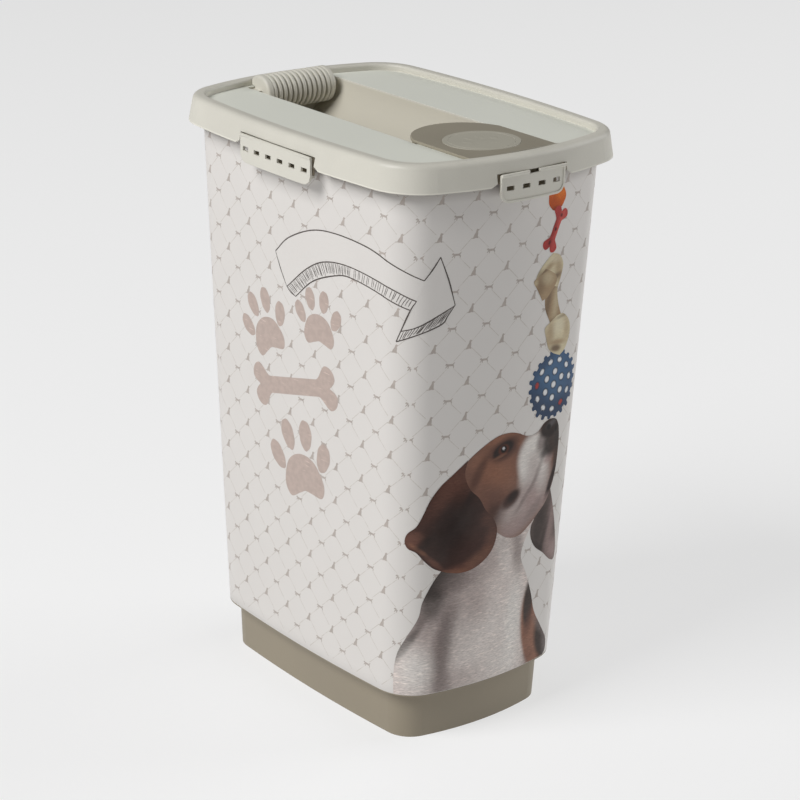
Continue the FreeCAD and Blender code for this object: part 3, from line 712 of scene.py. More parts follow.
ARROW_TOP = [
    (-185, 472), (-163, 491), (-126, 507.5), (-90, 512.5), (-46, 510), (-16, 501.5), (17, 487)
]
ARROW_BOTTOM = [(-167, 440), (-134, 467), (-105, 481), (-68, 484.5), (-20, 478), (10, 467)]
ARROW_UNDER = [(-153, 433.5), (-125, 456.5), (-90, 471), (-68, 474), (-29, 468.5), (4.5, 458)]
ARROW_BARB_TOP = (33, 508.5)
ARROW_TIP = (48.5, 460)
ARROW_BARB_LOW = (-4.5, 436.5)
ARROW_HEAD_EDGE = [(48.5, 459.5), (24, 447.5), (9, 440.5), (-4.5, 436.5)]
ARROW_HEAD_UNDER = [(35, 442.5), (12, 434), (-9, 425.5)]
ARROW_LINE = 1.25
HATCH_LINE = 0.62
ARROW_LIFT = 0.09


def stroke(points, width, count=24):
    """Grid of a pen line: the spline through points, half its width to each side, and a little
    thinner towards its ends.
    """
    middle = even_spline(points, count)
    way = np.gradient(middle, axis=0)
    way /= np.hypot(way[:, 0], way[:, 1])[:, None]
    side = np.stack([-way[:, 1], way[:, 0]], -1)
    share = np.linspace(0, 1, count)
    half = width / 2 * (0.75 + 0.25 * np.sin(math.pi * share) + 0.12 * np.sin(9 * share + len(points)))
    return middle[:, None] + side[:, None] * (half[:, None] * np.array([-1, 0, 1]))[..., None]


def hatch(upper, lower, pitch, seed):
    """Short pen strokes from one curve to another, unevenly spaced, leaning and long."""
    chance = np.random.default_rng(seed)
    length = np.hypot(*np.diff(even_spline(upper, 60), axis=0).T).sum()
    count = int(length / pitch)
    share = (np.arange(1, count) + chance.uniform(-0.3, 0.3, count - 1)) / count
    a, b = even_spline(upper, 200), even_spline(lower, 200)
    top = a[(share * 199).astype(int)]
    low = b[np.clip(share * 199 + chance.uniform(-3, 1, count - 1), 0, 199).astype(int)]
    reach = chance.uniform(0.72, 1.0, count - 1)[:, None]
    lead = chance.uniform(0.0, 0.1, count - 1)[:, None]
    starts, ends = top + (low - top) * lead, top + (low - top) * reach
    bend = (starts + ends) / 2 + chance.uniform(-0.4, 0.4, (count - 1, 2))
    return [stroke([s, m, e], HATCH_LINE, 5) for s, m, e in zip(starts, bend, ends)]


def arrow_outline():
    """The arrow's face and its hatched thickness as one closed outline."""
    return np.concatenate([
        even_spline(ARROW_TOP, 40), [ARROW_BARB_TOP, ARROW_TIP], even_spline(ARROW_HEAD_UNDER, 10),
        ARROW_UNDER[-1:], even_spline(ARROW_UNDER[::-1], 40), ARROW_BOTTOM[:1],
    ])


def make_arrow(settings):
    """Ribbon arrow drawn by hand: a blank face, pen lines round it and hatching under its edges."""
    film = plain_film(settings)
    body = between_rails(ARROW_TOP, ARROW_BOTTOM, 9, 60)
    under = between_rails(ARROW_BOTTOM, ARROW_UNDER, 4, 60)
    top_edge = np.concatenate([
        np.linspace(ARROW_TOP[-1], ARROW_BARB_TOP, 12)[:-1], np.linspace(ARROW_BARB_TOP, ARROW_TIP, 20)
    ])
    low_edge = np.concatenate([
        np.linspace(ARROW_BOTTOM[-1], ARROW_BARB_LOW, 12)[:-1], even_spline(ARROW_HEAD_EDGE[::-1], 20)
    ])
    share = np.linspace(0, 1, 9)[None, :, None]
    head = top_edge[:, None] + (low_edge - top_edge)[:, None] * share
    head_under = between_rails(ARROW_HEAD_EDGE, [ARROW_TIP, *ARROW_HEAD_UNDER], 4, 24)
    print_grids("arrow_ground", [body, under, head, head_under], ARROW_LIFT, film)
    pen = flat_ink("pen ink", settings.line_ink)
    lines = [
        stroke(ARROW_TOP, ARROW_LINE, 80),
        stroke(ARROW_BOTTOM, ARROW_LINE, 80),
        stroke(ARROW_UNDER, ARROW_LINE, 80),
        stroke([ARROW_TOP[0], (-177, 456), ARROW_BOTTOM[0]], ARROW_LINE * 0.8),
        stroke([ARROW_BOTTOM[0], (-161, 436), ARROW_UNDER[0]], ARROW_LINE * 0.8),
        stroke([ARROW_TOP[-1], (25, 497), ARROW_BARB_TOP], ARROW_LINE),
        stroke([ARROW_BARB_TOP, (42, 484), ARROW_TIP], ARROW_LINE),
        stroke([ARROW_BOTTOM[-1], ARROW_UNDER[-1], ARROW_BARB_LOW, ARROW_HEAD_UNDER[-1]], ARROW_LINE, 40),
        stroke(ARROW_HEAD_EDGE, ARROW_LINE, 40),
        stroke([ARROW_TIP, (41, 450), *ARROW_HEAD_UNDER], ARROW_LINE, 40),
    ]
    print_grids("arrow_lines", lines, 2 * ARROW_LIFT, pen)
    dense = hatch(ARROW_BOTTOM[:4], ARROW_UNDER[:4], 2.0, 3)
    sparse = hatch(ARROW_BOTTOM[3:], ARROW_UNDER[3:], 3.2, 4)
    head_marks = hatch(ARROW_HEAD_EDGE, ARROW_HEAD_UNDER, 3.0, 5)
    print_grids("arrow_hatching", dense + sparse + head_marks, 1.8 * ARROW_LIFT, pen)


# --- Paw and bone motif ------------------------------------------------------------------------


def oval(centre, half_length, half_width, turn, count=48, wobble=0.03, seed=1):
    """Closed outline of an oval turned by degrees, its radius wavering a little."""
    angle = np.linspace(0, 2 * math.pi, count, endpoint=False)
    waver = 1 + wobble * (np.sin(3 * angle + seed) + 0.6 * np.sin(7 * angle + 2 * seed))
    x, y = half_length * waver * np.cos(angle), half_width * waver * np.sin(angle)
    c, s = math.cos(math.radians(turn)), math.sin(math.radians(turn))
    return np.stack([centre[0] + x * c - y * s, centre[1] + x * s + y * c], -1)


def paw(centre, size, turn):
    """Grids of a paw print: a broad pad pulled in below, and four toes fanned above it."""
    centre = np.array(centre, float)
    c, s = math.cos(math.radians(turn)), math.sin(math.radians(turn))
    pad = np.array([
        (0, 0.10), (0.34, -0.02), (0.52, -0.38), (0.42, -0.62), (0.16, -0.56), (0, -0.52), (-0.16, -0.56),
        (-0.42, -0.62), (-0.52, -0.38), (-0.34, -0.02),
    ]) * size
    pad = pad @ np.array([[c, s], [-s, c]]) + centre
    middle = centre + np.array([s * 0.28, -c * 0.28]) * size
    grids = [radial(middle, spline(pad, 64, closed=True), 6)]
    for x, y, lean in ((-0.62, 0.06, 28), (-0.24, 0.42, 10), (0.24, 0.42, -10), (0.62, 0.06, -28)):
        toe = centre + np.array([x * c - y * s, x * s + y * c]) * size
        grids.append(radial(toe, oval(toe, 0.16 * size, 0.26 * size, turn + lean, seed=x), 4))
    return grids


def bone(centre, length, turn, knob):
    """Grid of a bone: a shaft that swells to two round lobes of radius knob at each end.

    Its half width grows smoothly to the lobes' middles, then falls as a circle's; across the end,
    the grid is pulled in between the lobes by the square of the nearness to the middle.
    """
    along = np.sin(np.linspace(-math.pi / 2, math.pi / 2, 80)) * length / 2
    across = np.linspace(-1, 1, 17)
    reach = length / 2 - knob
    swell = smooth_step((np.abs(along) - reach + 1.4 * knob) / (1.4 * knob))
    beyond = np.clip((np.abs(along) - reach) / knob, 0, 1)
    inner = knob * (0.7 + 1.1 * swell)
    half = np.where(beyond > 0, knob * (0.8 + np.sqrt(1 - beyond**2)), inner)
    pull = 0.8 * knob * (beyond * np.sign(along))[:, None] * (1 - np.abs(across))[None] ** 2
    x, y = along[:, None] - pull, half[:, None] * across
    c, s = math.cos(math.radians(turn)), math.sin(math.radians(turn))
    return np.stack([centre[0] + x * c - y * s, centre[1] + x * s + y * c], -1)


def make_motif(settings):
    """Dusty rose marks where a slogan would be: a trail of paw prints and a bone."""
    ink = flat_ink("motif ink", settings.motif_ink, dry=0.7)
    discs = paw((-206, 392), 50, 26) + paw((-118, 420), 44, 4) + paw((-148, 262), 62, 14)
    kinds = ["disc"] * len(discs) + ["open"]
    print_grids("motif_marks", discs + [bone((-158, 338), 138, 14, 12.5)], ARROW_LIFT, ink, kinds)


# --- Picture of the dog --------------------------------------------------------------------------

# Inks of the picture
WHITE_FUR = (236, 232, 227)
SHADE_FUR = (184, 171, 167)
GREY_FUR = (128, 116, 113)
BLACK_FUR = (58, 50, 47)
TAN = (150, 104, 82)
BROWN = (108, 72, 60)
DEEP_BROWN = (66, 41, 35)
NEAR_BLACK = (40, 29, 27)
PINK_SKIN = (168, 146, 142)
GLOSS = (225, 225, 228)
DOG_LIFT = 0.12

CHEST_LEFT = [
    (84, 262), (62, 222), (43, 192), (30, 176), (19, 156), (14.5, 138), (3, 117), (-6, 98), (-9.5, 76), (-9.5, 53)
]
CHEST_RIGHT = [
    (166, 240), (157, 220), (148, 206), (139, 190), (137, 176), (146, 155), (154, 132), (160, 110),
    (172, 89), (183, 70), (184, 58), (179, 53),
]
HEAD_TOP = [
    (56, 286), (66, 298), (77, 306), (90, 313), (103, 317.5), (116, 317.5), (127, 314.5), (137, 309.5),
    (147, 307.5), (156, 310), (164, 316), (174, 318), (183, 315), (187.5, 307),
]
HEAD_LOW = [
    (62, 260), (76, 240), (94, 222), (114, 206), (132, 203), (148, 211), (160, 220), (170, 228), (178, 240),
    (183, 252), (186, 264), (188, 280), (188.8, 295), (187.5, 307),
]
EAR_LEFT = [
    (66, 299), (50, 287), (37, 277), (26, 264), (18.5, 249), (12, 237), (3.5, 229.5), (0.8, 221),
    (4, 213.5), (12, 209), (20, 199.5), (30, 190), (44, 183.5),
]
EAR_RIGHT = [
    (66, 299), (63, 284), (69, 268), (80, 256), (88, 242), (98, 230), (102.7, 218), (101, 205), (95, 194),
    (85, 186), (72, 180.8), (58, 180.2), (44, 183.5),
]
FAR_EAR_LEFT = [(166, 238), (157, 222), (150, 208), (150, 196), (157, 183), (170, 172.5), (181, 162), (188.5, 158)]
FAR_EAR_RIGHT = [(178, 242), (183, 225), (187.5, 206), (191, 187), (193.4, 170), (192, 161), (188.5, 158)]


def chest_dabs():
    """White breast, shaded down the left, with a black and tan flank on the right."""
    return [
        (40, 150, 40, 90, -12, 0.6, SHADE_FUR, 0.8),
        (35, 175, 34, 18, 10, 0.45, BLACK_FUR, 0.9),
        (30, 155, 14, 24, -20, 0.6, BLACK_FUR, 0.75),
        (62, 172, 24, 12, 12, 0.6, GREY_FUR, 0.8),
        (98, 205, 40, 26, 60, 0.6, SHADE_FUR, 0.85),
        (112, 196, 9, 34, 12, 0.7, WHITE_FUR, 0.35),
        (132, 185, 7, 26, 4, 0.7, GREY_FUR, 0.6),
        (70, 140, 22, 24, 25, 0.7, SHADE_FUR, 0.8),
        (40, 95, 10, 50, -6, 0.8, GREY_FUR, 0.85),
        (46, 122, 9, 30, -14, 0.7, GREY_FUR, 0.6),
        (14, 118, 18, 10, 35, 0.6, SHADE_FUR, 0.6),
        (2, 108, 26, 5, 56, 0.6, BLACK_FUR, 0.8),
        (14, 135, 8, 7, 40, 0.6, GREY_FUR, 0.7),
        (12, 80, 16, 24, 4, 0.8, WHITE_FUR, 0.8),
        (66, 96, 16, 36, 0, 0.8, WHITE_FUR, 0.35),
        (62, 62, 22, 12, 0, 0.8, SHADE_FUR, 0.6),
        (42, 60, 9, 18, 10, 0.7, GREY_FUR, 0.55),
        (100, 96, 22, 44, -8, 0.8, WHITE_FUR, 0.45),
        (128, 110, 11, 44, -4, 0.7, WHITE_FUR, 0.9),
        (120, 66, 20, 16, 0, 0.8, WHITE_FUR, 0.55),
        (158, 88, 17, 50, 9, 0.16, TAN, 0.95),
        (150, 122, 7, 26, -4, 0.3, BLACK_FUR, 0.95),
        (152, 100, 5, 18, -14, 0.7, BROWN, 0.6),
        (176, 72, 13, 26, 14, 0.30, BLACK_FUR, 0.95),
        (172, 90, 6, 16, 40, 0.6, GREY_FUR, 0.6),
        (180, 70, 5, 14, 5, 0.8, GREY_FUR, 0.5),
        (152, 60, 8, 12, 0, 0.8, BROWN, 0.4),
    ]


def head_dabs():
    """Tan cheek and skull, white muzzle, black nose, dark eye and lips."""
    return [
        (104, 292, 34, 20, 18, 0.7, BROWN, 0.8),
        (92, 285, 16, 12, -20, 0.8, TAN, 0.75),
        (112, 280, 16, 12, 30, 0.8, TAN, 0.7),
        (104, 268, 20, 12, 0, 0.8, TAN, 0.5),
        (80, 285, 5, 22, -28, 0.7, DEEP_BROWN, 0.6),
        (98, 247, 20, 14, -40, 0.7, BROWN, 0.8),
        (100, 234, 12, 12, -30, 0.6, DEEP_BROWN, 0.75),
        (80, 300, 16, 5, 36, 0.8, TAN, 0.5),
        (108, 314, 20, 4, 8, 0.7, TAN, 0.8),
        (128, 306, 10, 6, -35, 0.7, TAN, 0.5),
        (150, 282, 22, 27, 0, 0.22, WHITE_FUR, 0.9),
        (147, 262, 16, 18, 20, 0.4, WHITE_FUR, 0.6),
        (156, 250, 22, 26, 0, 0.5, SHADE_FUR, 0.8),
        (132, 230, 28, 20, 30, 0.5, SHADE_FUR, 0.9),
        (124, 214, 22, 10, 20, 0.6, PINK_SKIN, 0.7),
        (150, 236, 14, 16, 40, 0.7, PINK_SKIN, 0.7),
        (152, 226, 16, 5, 35, 0.8, GREY_FUR, 0.5),
        (140, 244, 20, 2.4, 48, 0.6, GREY_FUR, 0.6),
        (158, 268, 3.0, 22, -28, 0.7, GREY_FUR, 0.55),
        (166, 262, 7, 16, -16, 0.8, WHITE_FUR, 0.4),
        (150, 279, 8, 10, 0, 0.8, SHADE_FUR, 0.5),
        (163, 297, 9, 13, -18, 0.5, GREY_FUR, 0.85),
        (168, 284, 9, 5, 20, 0.5, BLACK_FUR, 0.7),
        (172, 276, 7, 5, 20, 0.6, PINK_SKIN, 0.8),
        (176, 292, 12, 14, -8, 0.4, BLACK_FUR, 0.9),
        (185, 270, 4.5, 26, -4, 0.5, BLACK_FUR, 0.75),
        (178, 250, 3.4, 17, -24, 0.5, NEAR_BLACK, 0.9),
        (173, 238, 2.6, 9, -34, 0.5, NEAR_BLACK, 0.85),
        (168, 232, 8, 4, 45, 0.7, PINK_SKIN, 0.6),
        (173, 309, 15, 10, 4, 0.25, NEAR_BLACK, 0.95),
        (186, 300, 5, 12, 0, 0.5, BLACK_FUR, 0.9),
        (176, 313, 7, 3, 20, 0.8, (96, 92, 95), 0.7),
        (171, 310, 3.2, 3.0, 0, 0.4, (14, 10, 10), 1.0),
        (183, 306, 2.0, 3.4, -10, 0.5, (14, 10, 10), 0.9),
        (120, 246, 13, 7.5, 32, 0.35, DEEP_BROWN, 0.9),
        (122, 248, 8, 4, 32, 0.5, NEAR_BLACK, 0.85),
        (110, 302, 18, 10.5, 22, 0.35, DEEP_BROWN, 0.75),
        (108, 301.5, 13.5, 7.2, 22, 0.2, NEAR_BLACK, 0.95),
        (108.5, 301.5, 6.6, 5.4, 10, 0.25, (92, 46, 30), 0.9),
        (108.5, 302, 3.8, 3.8, 0, 0.25, (12, 8, 8), 1.0),
        (108.2, 302.8, 1.5, 1.4, 0, 0.3, GLOSS, 1.0),
        (104, 295, 8, 1.6, 12, 0.6, TAN, 0.6),
    ]


def ear_dabs():
    """Dark hanging ear with a warm worn edge below and a fold at its back tip."""
    return [
        (58, 276, 22, 20, 40, 0.8, BROWN, 0.75),
        (64, 246, 20, 26, -30, 0.7, NEAR_BLACK, 0.55),
        (46, 224, 20, 30, -24, 0.8, NEAR_BLACK, 0.8),
        (36, 262, 8, 22, -36, 0.8, BROWN, 0.45),
        (66, 184, 34, 6, 6, 0.7, BROWN, 0.7),
        (96, 205, 8, 18, -14, 0.8, BROWN, 0.8),
        (80, 192, 16, 6, 26, 0.8, TAN, 0.35),
        (52, 182, 20, 3, -4, 0.7, TAN, 0.45),
        (8, 222, 10, 9, 30, 0.6, BROWN, 0.9),
        (14, 212, 10, 2.2, -38, 0.6, TAN, 0.6),
        (20, 218, 5, 12, -48, 0.7, NEAR_BLACK, 0.7),
        (30, 196, 12, 3, -42, 0.7, BROWN, 0.8),
        (92, 232, 8, 8, 0, 0.8, BROWN, 0.4),
        (72, 262, 4, 22, -34, 0.7, NEAR_BLACK, 0.6),
    ]


def far_ear_dabs():
    """Far ear in shade, a little paler along its edge."""
    return [
        (162, 205, 10, 26, -14, 0.7, BLACK_FUR, 0.75),
        (182, 205, 6, 36, -12, 0.8, PINK_SKIN, 0.6),
        (186, 172, 8, 12, 0, 0.8, PINK_SKIN, 0.8),
        (170, 190, 3, 22, -20, 0.7, BLACK_FUR, 0.6),
        (162, 182, 10, 3, -40, 0.7, BLACK_FUR, 0.7),
    ]


def make_dog():
    """A hound looking up at its toys, in four overlapping printed pieces."""
    jobs = [
        ("dog_far_ear", FAR_EAR_LEFT, FAR_EAR_RIGHT, 30, 70, (102, 88, 84), far_ear_dabs(), 1.3, 0.25, 1.0),
        ("dog_chest", CHEST_LEFT, CHEST_RIGHT, 130, 170, (218, 207, 202), chest_dabs(), 1.45, 0.45, 1.4),
        ("dog_head", HEAD_TOP, HEAD_LOW, 100, 150, (126, 92, 78), head_dabs(), 0.6, 0.25, 1.8),
        ("dog_near_ear", EAR_LEFT, EAR_RIGHT, 90, 120, DEEP_BROWN, ear_dabs(), 1.2, 0.35, 2.2),
    ]
    for name, left, right, across, along, ground, dabs, turn, hair, layer in jobs:
        grid = between_rails(left, right, across, along)
        ink = paint(grid, ground, dabs)
        fur = picture_ink(name + " ink", turn, 7.0, hair)
        print_grids(name, [grid], DOG_LIFT * layer, fur, ink=ink)


# --- Toys ---------------------------------------------------------------------------------------

TOY_LIFT = 0.14


HIDE_PALE = (212, 200, 168)
HIDE_MID = (170, 146, 116)
HIDE_DARK = (112, 90, 70)
CRUMB_DARK = (74, 20, 20)


def chew_parts():
    """The knotted chew's parts, one over the other.

    For each, its name, left and right rails, places across and along, layer, ground and dabs.
    """
    return [
        ("chew_shaft", [(160, 462), (157, 449), (158, 436), (164, 424), (168, 416)],
         [(176, 462), (175, 449), (178, 436), (183, 424), (186, 416)], 24, 40, 1.0, HIDE_MID, [
            (161, 440, 4, 30, -10, 0.8, HIDE_DARK, 0.7), (174, 444, 4, 22, -8, 0.8, HIDE_PALE, 0.5),
            (166, 460, 14, 4, 0, 0.8, HIDE_DARK, 0.8), (174, 421, 12, 4, 6, 0.8, HIDE_DARK, 0.6),
        ]),
        ("chew_crown", [(166, 492), (157, 486), (148, 478), (143, 470), (144, 464)],
         [(166, 492), (176, 488), (182, 478), (179, 465), (175, 456)], 26, 40, 1.3, HIDE_PALE, [
            (160, 478, 20, 3, 34, 0.8, HIDE_MID, 0.8), (176, 472, 5, 18, 14, 0.8, HIDE_MID, 0.7),
            (166, 466, 14, 3, 12, 0.6, HIDE_DARK, 0.85), (148, 472, 4, 7, 0, 0.8, HIDE_DARK, 0.5),
            (170, 486, 8, 4, 0, 0.8, (228, 218, 190), 0.6),
        ]),
        ("chew_fold", [(156, 478), (148, 472), (140.5, 467.5), (146, 458), (153, 446)],
         [(156, 478), (164, 474), (172, 468), (172, 460), (160, 448)], 24, 36, 1.6, HIDE_MID, [
            (150, 462, 6, 12, -24, 0.8, HIDE_DARK, 0.5), (160, 468, 8, 6, -20, 0.8, HIDE_PALE, 0.5),
            (156, 476, 10, 1.4, 20, 0.6, HIDE_DARK, 0.6), (143, 466, 3, 3, 0, 0.8, HIDE_PALE, 0.5),
        ]),
        ("chew_foot",
         [(176, 426), (166, 421), (158.5, 416), (161, 405), (165, 394), (172, 388), (183, 383)],
         [(176, 426), (186, 426), (195, 418), (198.5, 408), (196, 396), (190, 387), (183, 383)],
         28, 44, 1.6, HIDE_PALE, [
            (166, 408, 6, 14, -14, 0.8, HIDE_MID, 0.7), (192, 410, 5, 14, 8, 0.8, HIDE_MID, 0.5),
            (178, 398, 12, 3, -6, 0.7, HIDE_MID, 0.9), (176, 392, 8, 3.4, -10, 0.5, HIDE_DARK, 0.9),
            (180, 415, 8, 8, 0, 0.8, (230, 222, 196), 0.6), (186, 424, 10, 1.6, 6, 0.7, HIDE_DARK, 0.5),
        ]),
    ]


def make_toys():
    """Hanging toys above the dog: two biscuits, a knotted chew and a spotted ball."""
    crumb = picture_ink("biscuit ink", 0.0, 1.2, 0.30, 1100.0)
    hide = picture_ink("hide ink", 1.3, 4.0, 0.14, 900.0)
    rubber = picture_ink("rubber ink", 0.4, 1.5, 0.08, 600.0)

    place = (168.5, 547)
    grid = radial(place, oval(place, 12.5, 12.5, 0, 64, 0.03), 20)
    ink = paint(grid, (214, 104, 34), [
        (162, 541, 12, 10, 0, 0.8, (172, 70, 24), 0.7), (174, 552, 7, 6, 20, 0.8, (236, 132, 48), 0.6),
        (168, 536, 8, 2.4, 0, 0.8, (128, 48, 20), 0.8),
    ])
    print_grids("biscuit_round", [grid], TOY_LIFT, crumb, ["disc"], ink)

    grid = bone((168, 515.5), 45, 64, 5.8)
    ink = paint(grid, (186, 66, 62), [
        (163, 512, 5, 24, -24, 0.8, (142, 40, 40), 0.6), (174, 520, 3, 20, -24, 0.8, (216, 96, 88), 0.5),
        (176, 528, 1.6, 1.8, 0, 0.4, CRUMB_DARK, 0.9), (168, 515.5, 1.6, 1.8, 0, 0.4, CRUMB_DARK, 0.9),
        (160, 503.5, 1.4, 2.4, -20, 0.4, CRUMB_DARK, 0.9),
    ])
    print_grids("biscuit_bone", [grid], TOY_LIFT * 1.3, crumb, ink=ink)

    for name, left, right, across, along, layer, ground, dabs in chew_parts():
        grid = between_rails(left, right, across, along)
        print_grids(name, [grid], TOY_LIFT * layer, hide, ink=paint(grid, ground, dabs))
    make_ball(rubber)


def make_ball(rubber):
    """Round ball of short blunt spikes: the edge's radius rises at each spike, and rows of white
    spots with dark rims cover it.
    """
    centre, radius, spikes = np.array([175.5, 354.0]), 33.0, 22
    angle = np.linspace(0, 2 * math.pi, spikes * 10, endpoint=False)
    tooth = smooth_step((np.cos(spikes * angle) + 0.35) / 0.9)
    reach = radius + 4.6 * tooth * (0.8 + 0.2 * np.sin(5 * angle))
    edge = centre + np.stack([reach * np.cos(angle), reach * np.sin(angle)], -1)
    grid = radial(centre, edge, 46)
    shade = [
        (172, 362, 26, 24, 0, 0.9, (78, 116, 152), 0.7), (150, 340, 14, 26, 40, 0.9, (38, 50, 76), 0.6),
        (186, 328, 26, 10, 10, 0.9, (38, 50, 76), 0.6), (160, 382, 20, 7, 28, 0.8, (40, 54, 82), 0.5),
    ]
    spots = []
    for ring, count, turn in ((0.0, 1, 0.0), (13.5, 6, 0.4), (25.5, 11, 0.1)):
        for index in range(count):
            way = turn + 2 * math.pi * index / count
            u, z = centre + ring * np.array([math.cos(way), math.sin(way)])
            flat = math.sqrt(1 - (ring / 38) ** 2)
            tilt = math.degrees(way)
            spots.append((u, z, 4.4 * flat, 4.4, tilt, 0.25, (36, 44, 62), 0.9))
            red = ring > 20 and index in (5, 9)
            spots.append((u, z, 3.2 * flat, 3.2, tilt, 0.2, (176, 62, 58) if red else (232, 234, 236), 1.0))
    ink = paint(grid, (58, 84, 118), shade + spots)
    print_grids("ball", [grid], TOY_LIFT, rubber, ["disc"], ink)


# --- Mouldings ----------------------------------------------------------------------------------

# The painted highlight line's top over the film's top edge, and the sunken panel's depth
LIP_LINE_TOP = 0.0031
PANEL_DEPTH = 0.007
# The badge's relief: its height, how far it is let in, and its line's share of the oval and half width
RELIEF_HEIGHT = 0.0003
RELIEF_SINK = 0.00005
RELIEF_LINE = 0.86
RELIEF_LINE_HALF = 0.012


def dress(node, material):
    """Gives a CAD node its finish."""
    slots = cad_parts[node].material_slots
    for slot in slots:
        slot.material = material
    if not slots:
        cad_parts[node].data.materials.append(material)


def make_relief(material):
    """Low raised oval line and paw on the badge.

    The line's height is 1 less the square of its share across, and each part of the paw is domed
    by the cube of its share out.
    """
    low, high = np.array(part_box("flap_badge"))
    centre, size = (low[:2] + high[:2]) / 2, high[:2] - low[:2]
    angle = np.linspace(0, 2 * math.pi, 96, endpoint=False)
    edge = np.stack([np.cos(angle), np.sin(angle)], -1) * size / 2
    across = np.linspace(-1, 1, 7)
    line = edge[None] * (RELIEF_LINE + RELIEF_LINE_HALF * across)[:, None, None]
    marks = [grid * MM for grid in paw((0, 0), 26.0, 0)]
    rises = [1 - across**2, *(1 - (np.arange(1, len(grid) + 1) / len(grid)) ** 3 for grid in marks)]
    grids = [line, *marks]
    places, faces = joined(grids, ["ring"] + ["disc"] * len(marks))
    up = np.concatenate([np.repeat(rise, grid.shape[1]) for rise, grid in zip(rises, grids)])
    points = np.column_stack([places + centre, high[2] - RELIEF_SINK + RELIEF_HEIGHT * up])
    new_object("badge_relief", points, faces, material, "flap")


# --- Stage --------------------------------------------------------------------------------------

FLOOR_HALF = 6.0
LIGHT_AIM = (0, 0, 0.3)
LIGHT_DISTANCE = 6.0


def make_floor(settings):
    """Wide pale floor under the bin."""
    share = np.linspace(-FLOOR_HALF, FLOOR_HALF, 3)
    x, y = np.meshgrid(share, share, indexing="ij")
    mesh = bpy.data.meshes.new("floor")
    points = np.stack([x, y, 0 * x], -1).reshape(-1, 3)
    mesh.from_pydata(points.tolist(), [], grid_faces(3, 3)[:, ::-1].tolist())
    floor = bpy.data.objects.new("floor", mesh)
    bpy.context.scene.collection.objects.link(floor)
    recipe = Recipe("floor paper")
    glow = {"Emission Strength": settings.floor_glow, "Emission Color": (1, 1, 1, 1)}
    mesh.materials.append(recipe.finish(tuple(settings.floor_colour), 0.9, None, **glow))


def direction(azimuth, elevation):
    """Unit vector from the bin towards that azimuth and elevation, in radians."""
    flat = math.cos(elevation)
    return np.array([math.sin(azimuth) * flat, -math.cos(azimuth) * flat, math.sin(elevation)])


def area_light(name, azimuth, elevation, size, power):
    """Square soft light at that direction round the bin, in degrees, turned towards its middle."""
    lamp = bpy.data.lights.new(name, "AREA")
    lamp.shape = "SQUARE"
    lamp.size = size
    lamp.energy = power
    way = direction(math.radians(azimuth), math.radians(elevation))
    holder = bpy.data.objects.new(name, lamp)
    bpy.context.scene.collection.objects.link(holder)
    holder.matrix_world = look_from(np.array(LIGHT_AIM) + way * LIGHT_DISTANCE, way, 0.0)


def look_from(place, back, roll):
    """Matrix of a camera or light at place whose line of sight runs against back."""
    right = np.cross([0, 0, 1.0], back)
    right /= np.linalg.norm(right)
    up = np.cross(back, right)
    turned_right = math.cos(roll) * right + math.sin(roll) * up
    turned_up = math.cos(roll) * up - math.sin(roll) * right
    matrix = np.eye(4)
    matrix[:3] = np.column_stack([turned_right, turned_up, back, place])
    return Matrix(matrix.tolist())


def make_camera(settings):
    """Camera on a circle about the bin, aimed a little to the side of its axis."""
    back = direction(settings.azimuth, settings.elevation)
    right = direction(settings.azimuth + math.pi / 2, 0.0)
    aim = right * settings.side_step + np.array([0, 0, settings.aim_height])
    data = bpy.data.cameras.new("camera")
    data.lens = settings.lens
    data.sensor_width = 36
    camera = bpy.data.objects.new("camera", data)
    bpy.context.scene.collection.objects.link(camera)
    camera.matrix_world = look_from(aim + back * settings.distance, back, settings.roll)
    bpy.context.scene.camera = camera


# --- Operators ----------------------------------------------------------------------------------


class BIN_OT_stage(bpy.types.Operator):
    """Floor, surround, two soft lights and the camera"""

    bl_idname = "bin.stage"
    bl_label = "Studio"

    def execute(self, context):
        settings = context.scene.bin_stage
        make_floor(settings)
        world = context.scene.world or bpy.data.worlds.new("studio")
        context.scene.world = world
        world.use_nodes = True
        background = world.node_tree.nodes["Background"]
        background.inputs["Color"].default_value = (*settings.floor_colour, 1)
        background.inputs["Strength"].default_value = settings.air
        area_light("key", -95, 42, 3.0, settings.key_power)
        area_light("fill", 75, 24, 3.5, settings.fill_power)
        context.scene.view_settings.view_transform = "Standard"
        make_camera(settings)
        return {"FINISHED"}


class BIN_OT_wrap(bpy.types.Operator):
    """Printed film round the tub, with its lattice and small animals"""

    bl_idname = "bin.wrap"
    bl_label = "Printed film"

    def execute(self, context):
        settings = context.scene.bin_print
        make_wrap(settings)
        lattice_sprites(settings, arrow_outline())
        return {"FINISHED"}


class BIN_OT_arrow(bpy.types.Operator):
    """Drawn ribbon arrow on the film"""

    bl_idname = "bin.arrow"
    bl_label = "Arrow"

    def execute(self, context):
        make_arrow(context.scene.bin_print)
        return {"FINISHED"}


class BIN_OT_motif(bpy.types.Operator):
    """Paw and bone marks on the film"""

    bl_idname = "bin.motif"
    bl_label = "Paw and bone marks"

    def execute(self, context):
        make_motif(context.scene.bin_print)
        return {"FINISHED"}


class BIN_OT_dog(bpy.types.Operator):
    """Printed picture of a dog"""

    bl_idname = "bin.dog"
    bl_label = "Dog picture"

    def execute(self, context):
        make_dog()
        return {"FINISHED"}


class BIN_OT_toys(bpy.types.Operator):
    """Printed toys above the dog"""

    bl_idname = "bin.toys"
    bl_label = "Toys picture"

    def execute(self, context):
        make_toys()
        return {"FINISHED"}


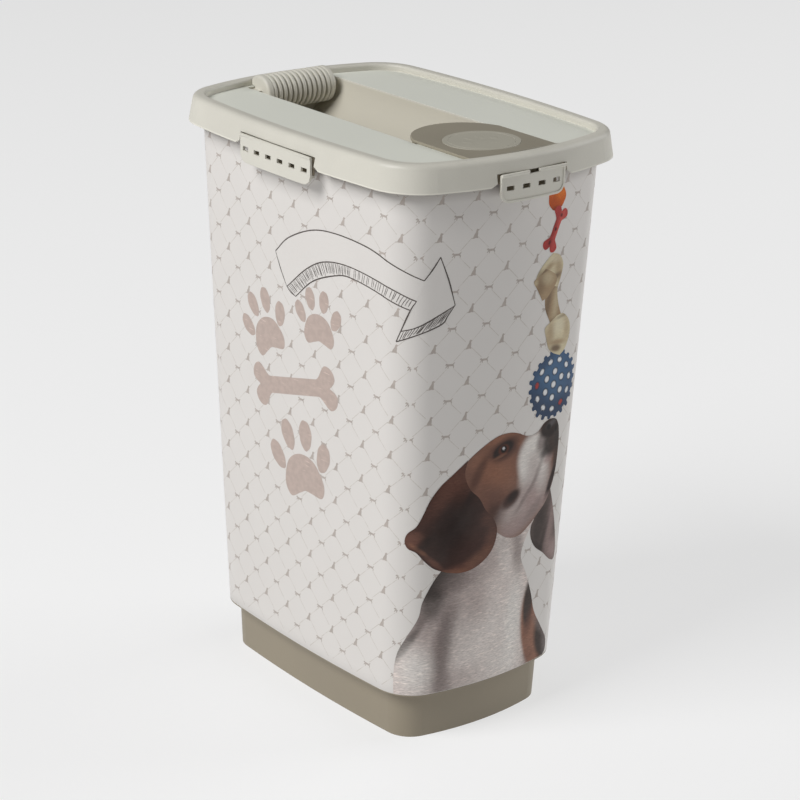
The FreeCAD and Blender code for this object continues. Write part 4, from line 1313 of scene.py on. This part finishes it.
class BIN_OT_mouldings(bpy.types.Operator):
    """Finishes of the tub, lid, grip, latches, flap, badge and seal"""

    bl_idname = "bin.mouldings"
    bl_label = "Mouldings"

    def execute(self, context):
        settings = context.scene.bin_plastic
        dress("tub", moulded_plastic("taupe plastic", settings.tub_colour, 0.48))
        # lip_z is the top of the painted highlight line on the lid's skirt
        lip_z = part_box("wall_wrap")[1][2] + LIP_LINE_TOP
        panel_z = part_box("lid")[1][2] - PANEL_DEPTH
        dress("lid", moulded_plastic("lid plastic", settings.lid_colour, 0.42, lip_z, panel_z))
        clip = moulded_plastic("clip plastic", settings.lid_colour, 0.42)
        for node in ("grip", "left_latch", "right_latch", "front_latch", "back_latch"):
            dress(node, clip)
        dress("pour_flap", moulded_plastic("flap plastic", settings.flap_colour, 0.36))
        badge = moulded_plastic("badge plastic", settings.badge_colour, 0.40)
        dress("flap_badge", badge)
        make_relief(badge)
        dress("lid_seal", moulded_plastic("seal rubber", settings.seal_colour, 0.7))
        return {"FINISHED"}


class BIN_PT_panel(bpy.types.Panel):
    """Lists the bin's pieces and their settings"""

    bl_idname = "BIN_PT_panel"
    bl_label = "Pet Food Bin"
    bl_space_type = "VIEW_3D"
    bl_region_type = "UI"
    bl_category = "Food Bin"

    def draw(self, context):
        for operator in OPERATORS:
            self.layout.operator(operator.bl_idname)
        for settings in (context.scene.bin_stage, context.scene.bin_plastic, context.scene.bin_print):
            box = self.layout.box()
            for name in settings.__annotations__:
                box.prop(settings, name)


SETTINGS = {"bin_stage": StageSettings, "bin_plastic": PlasticSettings, "bin_print": PrintSettings}
OPERATORS = (
    BIN_OT_stage, BIN_OT_wrap, BIN_OT_arrow, BIN_OT_motif, BIN_OT_dog, BIN_OT_toys, BIN_OT_mouldings
)


def register():
    """Registers the settings, operators and panel."""
    for kind in (*SETTINGS.values(), *OPERATORS, BIN_PT_panel):
        bpy.utils.register_class(kind)
    for name, kind in SETTINGS.items():
        setattr(bpy.types.Scene, name, bpy.props.PointerProperty(type=kind))


def unregister():
    """Takes them away again."""
    for name in SETTINGS:
        delattr(bpy.types.Scene, name)
    for kind in reversed((*SETTINGS.values(), *OPERATORS, BIN_PT_panel)):
        bpy.utils.unregister_class(kind)


def main():
    """Builds every piece in order."""
    register()
    bpy.ops.bin.stage()
    bpy.ops.bin.wrap()
    bpy.ops.bin.arrow()
    bpy.ops.bin.motif()
    bpy.ops.bin.dog()
    bpy.ops.bin.toys()
    bpy.ops.bin.mouldings()


if __name__ == "__main__":
    main()
